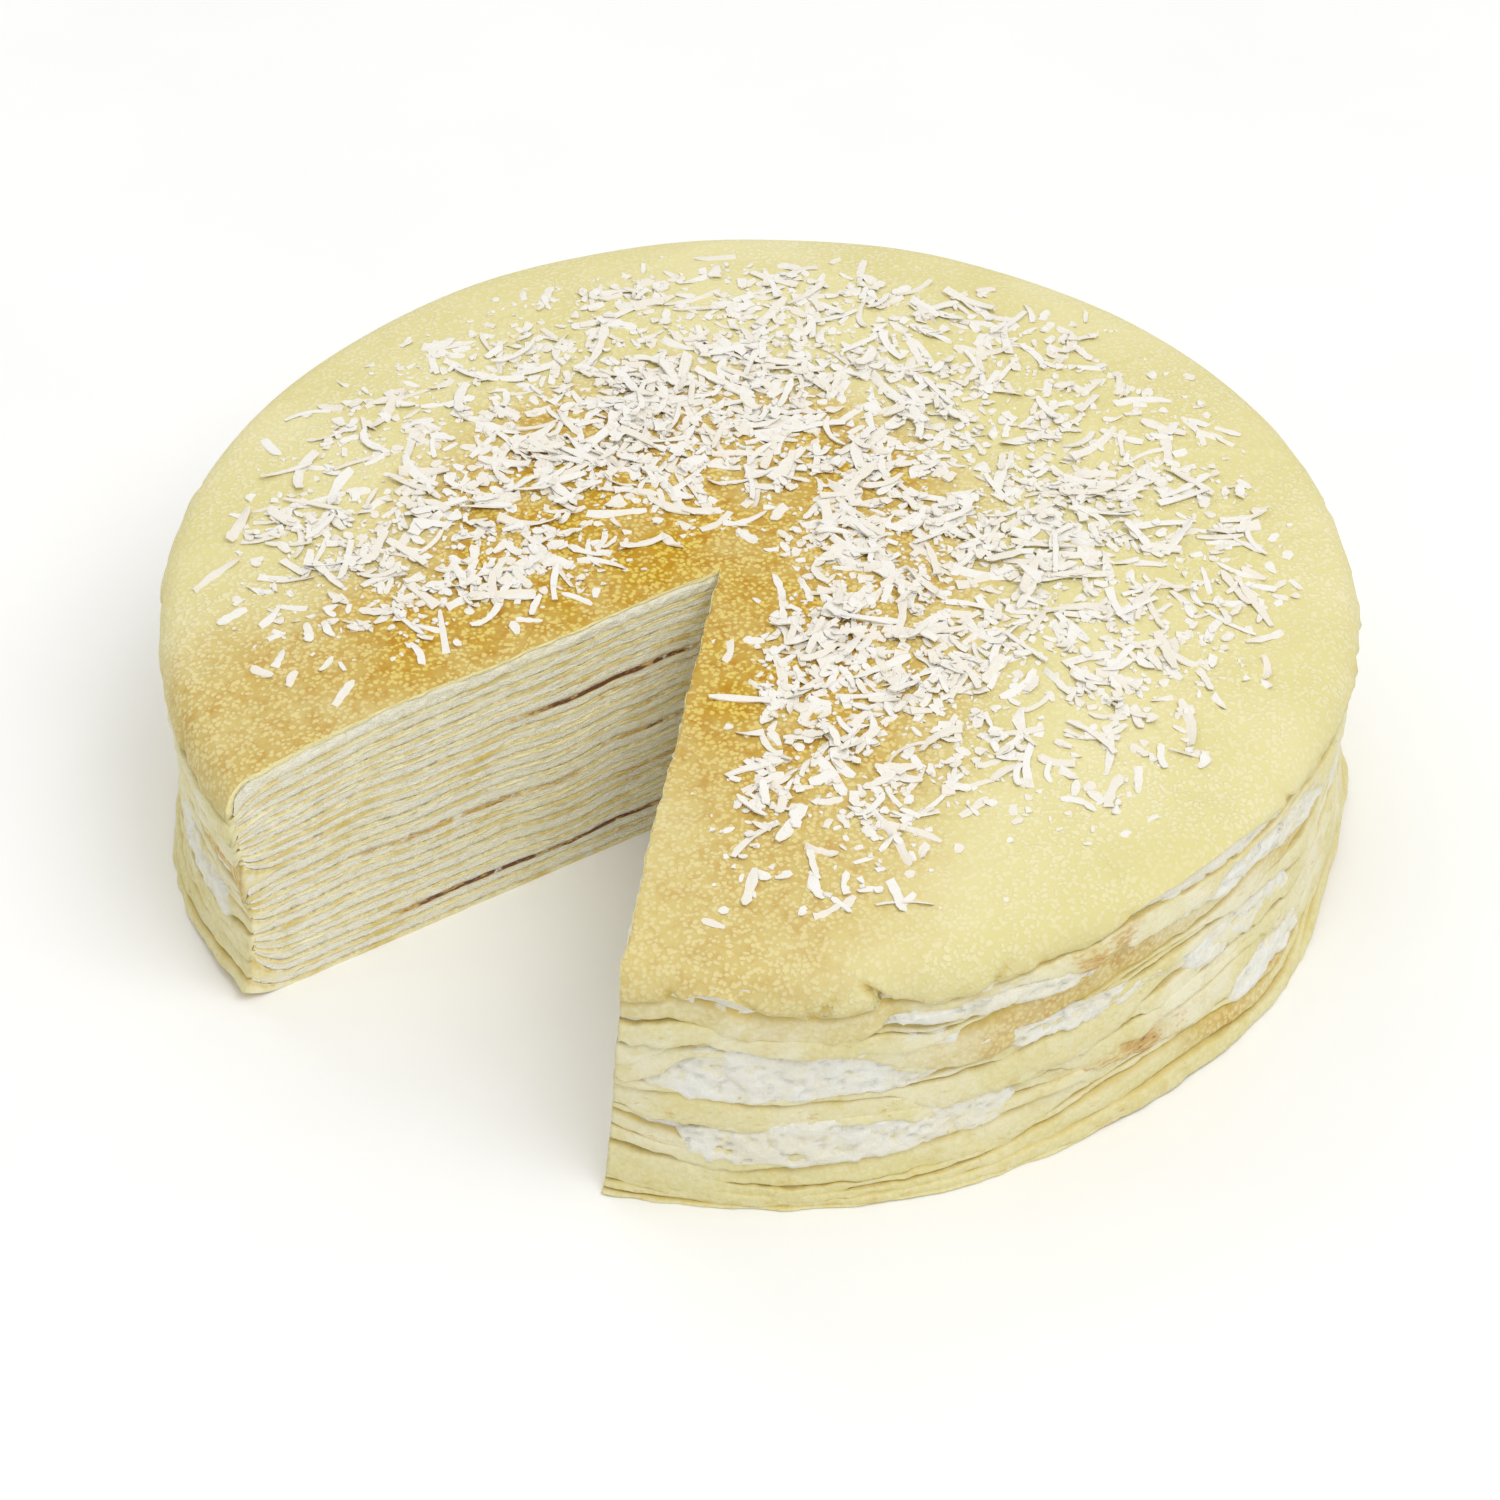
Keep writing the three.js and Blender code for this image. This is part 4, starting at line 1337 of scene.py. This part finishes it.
# %% Shared patterns
def build_batter_group():
    """Cooked batter: pale bubbles, packed like foam, in a net that is pale or golden brown.
    Golden says how browned the batter is, and Spots how strongly the net shows where it is pale."""
    tree, given, made = make_group("cooked_batter", {"Vector": VECTOR, "Golden": FLOAT, "Spots": FLOAT},
                                   GROUP_OUTPUTS)
    warp = scaled(tree, noise_vector(tree, given["Vector"], 700.0), (0.0009,) * 3)
    place = add_node(tree, "ShaderNodeVectorMath", {0: given["Vector"], 1: warp}, operation="ADD").outputs[0]
    small = cells(tree, place, 900.0)
    large = cells(tree, place, 520.0)
    blister = maths(tree, "MAXIMUM", span(tree, small, 0.58, 0.3), span(tree, large, 0.4, 0.2))
    patch = noise(tree, given["Vector"], 75.0, 4.0, 0.6)
    golden = product(tree, given["Golden"], span(tree, patch, 0.25, 0.62, 0.62, 1.0))
    speckle = noise(tree, given["Vector"], 260.0, 4.0, 0.65)
    deep = product(tree, golden, span(tree, speckle, 0.42, 0.72))
    net = blend(tree, golden, PALE_NET, GOLDEN_NET)
    net = blend(tree, deep, net, BROWN_NET)
    bubble = blend(tree, golden, PALE_BUBBLE, GOLDEN_BUBBLE)
    raised = product(tree, blister, between(tree, golden, given["Spots"], 0.8))
    tree.links.new(blend(tree, raised, net, bubble), made["Color"])
    tree.links.new(raised, made["Height"])
    tree.links.new(span(tree, blister, 0.0, 1.0, 0.66, 0.5), made["Roughness"])
    return tree


def build_cream_group():
    """Whipped cream: almost white, a little yellower on the cuts, with torn peaks and small pits, and
    painted shade, a darker yellow, where its lumps are low.
    """
    tree, given, made = make_group("whipped_cream", {"Vector": VECTOR, "On cut": FLOAT}, GROUP_OUTPUTS)
    lumps = noise(tree, given["Vector"], 420.0, 5.0, 0.62)
    grain = noise(tree, scaled(tree, given["Vector"], LEVEL_STREAKS), 560.0, 5.0, 0.7)
    tone = span(tree, noise(tree, given["Vector"], 90.0, 3.0), 0.3, 0.7)
    side = blend(tree, tone, CREAM_SIDE, CREAM_SIDE_WARM)
    cut = blend(tree, tone, CREAM_CUT, CREAM_CUT_WARM)
    colour = blend(tree, given["On cut"], side, cut)
    # Painted shade: where the lumps of the bump are low, the colour goes towards a darker yellow.
    shaded = blend(tree, span(tree, lumps, 0.5, 0.28, 0.0, 0.5), colour, CREAM_SHADE)
    tree.links.new(shaded, made["Color"])
    tree.links.new(between(tree, given["On cut"], lumps, grain), made["Height"])
    tree.links.new(span(tree, lumps, 0.3, 0.7, 0.7, 0.5), made["Roughness"])
    return tree


# A pattern on a vector scaled like this is drawn out along the layers.
LEVEL_STREAKS = (1.0, 1.0, 3.0)
# Colours, given as screen values.
PALE_NET = srgb(221, 211, 148)
PALE_BUBBLE = srgb(236, 228, 190)
GOLDEN_NET = srgb(191, 145, 4)
BROWN_NET = srgb(182, 125, 6)
GOLDEN_BUBBLE = srgb(233, 208, 96)
CREAM_SIDE = srgb(236, 235, 226)
CREAM_SIDE_WARM = srgb(232, 228, 208)
CREAM_CUT = srgb(254, 251, 234)
CREAM_CUT_WARM = srgb(254, 249, 222)
CREAM_FILM = srgb(238, 234, 210)
# Painted shade of the cream's low places.
CREAM_SHADE = srgb(230, 217, 160)
# Painted shade of the hanging skin.
HANGING_SHADE = srgb(220, 211, 156)
TOP_EDGE = srgb(238, 228, 172)
# Painted shade: the deeper yellow of creases, of tucked-in crepe edges and of lip undersides.
SHADE_YELLOW = srgb(208, 180, 84)
EDGE_PALE = srgb(244, 238, 200)
EDGE_DEEP = srgb(210, 184, 86)
EDGE_BROWN = srgb(198, 152, 70)
EDGE_DARK = srgb(104, 60, 34)
COCONUT_WHITE = srgb(240, 237, 230)
COCONUT_WARM = srgb(236, 229, 214)

BATTER = build_batter_group()
CREAM = build_cream_group()
print("node groups:", [group.name for group in bpy.data.node_groups])


# %% Materials of the cake
def new_material(name, **constants):
    """A material with a principled shader; constants are set straight on its inputs, whose names have
    spaces for underlines. Gives the material, its tree, its shader and the object coordinates."""
    material = bpy.data.materials.new(name)
    material.use_nodes = True
    tree = material.node_tree
    shader = tree.nodes["Principled BSDF"]
    for key, value in constants.items():
        shader.inputs[key.replace("_", " ")].default_value = value
    place = tree.nodes.new("ShaderNodeTexCoord").outputs["Object"]
    return material, tree, shader, place


def finish_material(tree, shader, colour, rough, height, depth):
    """Links colour, roughness and a bump of the given depth in metres to the shader."""
    bump = add_node(tree, "ShaderNodeBump", {"Height": height, "Distance": depth, "Strength": 1.0})
    tree.links.new(colour, shader.inputs["Base Color"])
    tree.links.new(rough, shader.inputs["Roughness"])
    tree.links.new(bump.outputs[0], shader.inputs["Normal"])


def top_material():
    """The top crepe: cooked batter, browned where the golden number says, with painted shade: darker
    the further the skin hangs, and deeper yellow in the skin's creases and in noise patches on it.
    """
    material, tree, shader, place = new_material("top_crepe", Specular_IOR_Level=0.25)
    golden = attribute(tree, "golden")
    spots = span(tree, noise(tree, place, 40.0), 0.3, 0.7, 0.25, 0.6)
    batter = use_group(tree, BATTER, {"Vector": place, "Golden": golden, "Spots": spots})
    cloudy = span(tree, noise(tree, place, 28.0), 0.35, 0.75, 0.0, 0.35)
    pale = product(tree, cloudy, span(tree, golden, 0.0, 0.5, 1.0, 0.0))
    colour = blend(tree, pale, batter["Color"], EDGE_PALE)
    # Painted shade: the hanging skin is blended towards a darker yellow the further it hangs.
    hang = attribute(tree, "hang")
    colour = blend(tree, product(tree, hang, 0.45), colour, HANGING_SHADE)
    # Painted shade: deeper yellow in the skin's creases, and in noise patches where the skin hangs.
    shade_patch = span(tree, noise(tree, place, 210.0, 4.0, 0.6), 0.5, 0.72, 0.0, 0.45)
    painted_shade = maths(tree, "MAXIMUM", attribute(tree, "painted_shade"), product(tree, shade_patch, hang))
    colour = blend(tree, product(tree, painted_shade, 0.8), colour, SHADE_YELLOW)
    colour = blend(tree, attribute(tree, "on_cut"), colour, TOP_EDGE)
    finish_material(tree, shader, colour, batter["Roughness"], batter["Height"], 0.00018)
    return material


def crepe_side_colour(tree, place, batter, golden, height):
    """A crepe at the side: batter under a thin film of cream, which is thinnest near the plate and
    where the crepe is golden, with painted shade, a deeper yellow, where it tucks in under its
    neighbour, on the underside of its lip and in noise patches."""
    film = product(tree, span(tree, noise(tree, place, 55.0, 5.0, 0.65), 0.38, 0.66, 0.08, 0.75),
                   span(tree, golden, 0.1, 0.7, 1.0, 0.3))
    level = add_node(tree, "ShaderNodeSeparateXYZ", {0: place}).outputs["Z"]
    film = product(tree, film, span(tree, level, 0.004, 0.016, 0.35, 1.0))
    side = blend(tree, film, batter, CREAM_FILM)
    # Painted shade: deeper yellow where the crepe tucks in under the lip above and on its own lip's
    # underside, and in noise patches.
    lip_shade = maths(tree, "MAXIMUM", span(tree, height, 0.55, 0.95), span(tree, height, 0.14, 0.03))
    shade_patch = span(tree, noise(tree, place, 230.0, 4.0, 0.6), 0.5, 0.72, 0.0, 0.32)
    painted_shade = maths(tree, "MAXIMUM", product(tree, lip_shade, 0.7), shade_patch)
    return blend(tree, painted_shade, side, SHADE_YELLOW)


def crepe_cut_colour(tree, place, height, fine):
    """A crepe on a cut: pale to deep yellow in slow patches, and deeper along its upper face."""
    edge = blend(tree, span(tree, noise(tree, place, 120.0), 0.35, 0.8), EDGE_PALE, EDGE_DEEP)
    line = product(tree, span(tree, height, 0.5, 0.8), span(tree, fine, 0.4, 0.6, 0.3, 1.0))
    return blend(tree, product(tree, line, 0.7), edge, EDGE_DEEP)


def crepe_material():
    """The stacked crepes' edges: the side's or the cut's colour, browned in places along the layers,
    and smeared with cream here and there."""
    material, tree, shader, place = new_material("crepe_edge")
    golden = attribute(tree, "golden")
    batter = use_group(tree, BATTER, {"Vector": place, "Golden": golden, "Spots": 0.3})
    height = attribute(tree, "height_share")
    on_cut = attribute(tree, "on_cut")
    fine = noise(tree, place, 900.0, 4.0, 0.6)
    side = crepe_side_colour(tree, place, batter["Color"], golden, height)
    colour = blend(tree, on_cut, side, crepe_cut_colour(tree, place, height, fine))
    streaks = noise(tree, scaled(tree, place, LEVEL_STREAKS), 420.0, 5.0, 0.7)
    breaks = maths(tree, "ADD", span(tree, streaks, 0.2, 0.8, -0.5, 0.35),
                   span(tree, noise(tree, place, 130.0, 2.0), 0.3, 0.7, -0.3, 0.15))
    broken = maths(tree, "ADD", attribute(tree, "brown"), breaks)
    narrow = between(tree, on_cut, span(tree, height, 0.75, 0.3, 0.15, 1.0), span(tree, height, 0.1, 0.35))
    light_brown = product(tree, span(tree, broken, 0.1, 0.5), narrow)
    dark_brown = product(tree, span(tree, broken, 0.55, 0.95), narrow)
    colour = blend(tree, product(tree, light_brown, 0.75), colour, EDGE_BROWN)
    colour = blend(tree, dark_brown, colour, EDGE_DARK)
    smear = maths(tree, "ADD", attribute(tree, "smear"), noise(tree, place, 260.0, 4.0))
    colour = blend(tree, span(tree, smear, 0.98, 1.12), colour, CREAM_SIDE_WARM)
    finish_material(tree, shader, colour, batter["Roughness"], fine, 0.00035)
    return material


def cream_material():
    """The spreads of cream between the crepes."""
    material, tree, shader, place = new_material("cream")
    cream = use_group(tree, CREAM, {"Vector": place, "On cut": attribute(tree, "on_cut")})
    finish_material(tree, shader, cream["Color"], cream["Roughness"], cream["Height"], 0.0007)
    return material


def coconut_material():
    """Grated coconut: white, each piece its own shade, and fibrous."""
    material, tree, shader, place = new_material("coconut")
    fibre = noise(tree, place, 1500.0)
    tint = maths(tree, "ADD", attribute(tree, "shade"), span(tree, fibre, 0.3, 0.7, -0.3, 0.3))
    colour = blend(tree, span(tree, tint, 0.1, 1.0), COCONUT_WHITE, COCONUT_WARM)
    finish_material(tree, shader, colour, span(tree, fibre, 0.3, 0.7, 0.6, 0.42), fibre, 0.00015)
    return material


crepe_edges = crepe_material()
cream = cream_material()
for node, piece in layer_pieces.items():
    piece.data.materials.append(crepe_edges if node.startswith("crepe") else cream)
smears.data.materials.append(cream)
top_crepe.data.materials.append(top_material())
grated = coconut_material()
for piece in coconut_pieces:
    piece.data.materials.append(grated)
print(len(bpy.data.materials), "materials")

# %% [markdown]
# ## Light and floor
#
# The cake stands in a light tent: light comes evenly from all around, a soft box high in front at the
# right and a weaker one behind at the left give soft shadows, and a pale floor throws some light back.
# Colours are shown as they are, without a film curve.

# %% Light and floor
def add_area_light(name, place, target, size, watts):
    """A square soft box at a place in metres, turned so that its -Z looks at the target."""
    data = bpy.data.lights.new(name, "AREA")
    data.energy = watts
    data.size = size
    light = bpy.data.objects.new(name, data)
    light.location = place
    light.rotation_euler = (Vector(target) - Vector(place)).to_track_quat("-Z", "Y").to_euler()
    bpy.context.scene.collection.objects.link(light)


FLOOR_HALF = 3.0
FLOOR_LIGHT = srgb(252, 252, 251)
FLOOR_DIM = srgb(249, 249, 248)


def add_floor():
    """A large pale square under the cake, with a trace of mottling."""
    corners = [(x * FLOOR_HALF, y * FLOOR_HALF, 0) for x, y in ((-1, -1), (1, -1), (1, 1), (-1, 1))]
    mesh = bpy.data.meshes.new("floor")
    mesh.from_pydata(corners, [], [(0, 1, 2, 3)])
    floor = bpy.data.objects.new("floor", mesh)
    bpy.context.scene.collection.objects.link(floor)
    material, tree, shader, place = new_material("floor_paper")
    tone = span(tree, noise(tree, place, 12.0, 4.0), 0.3, 0.7)
    colour = blend(tree, tone, FLOOR_LIGHT, FLOOR_DIM)
    finish_material(tree, shader, colour, span(tree, tone, 0.0, 1.0, 0.55, 0.65), tone, 0.0001)
    mesh.materials.append(material)


WHITE = (1.0, 1.0, 1.0, 1.0)
WORLD_STRENGTH = 0.68
MIDDLE_OF_CAKE = (0.0, 0.0, 0.04)

world = bpy.data.worlds.new("tent")
bpy.context.scene.world = world
world.use_nodes = True
background = world.node_tree.nodes["Background"]
background.inputs["Color"].default_value = WHITE
background.inputs["Strength"].default_value = WORLD_STRENGTH
add_area_light("soft_box", (0.4, -0.42, 1.1), MIDDLE_OF_CAKE, 0.8, 6.5)
add_area_light("back_box", (-0.5, 0.8, 0.9), MIDDLE_OF_CAKE, 0.8, 2.2)
add_floor()
bpy.context.scene.view_settings.view_transform = "Standard"
print(len(bpy.data.lights), "soft boxes, world strength", WORLD_STRENGTH)
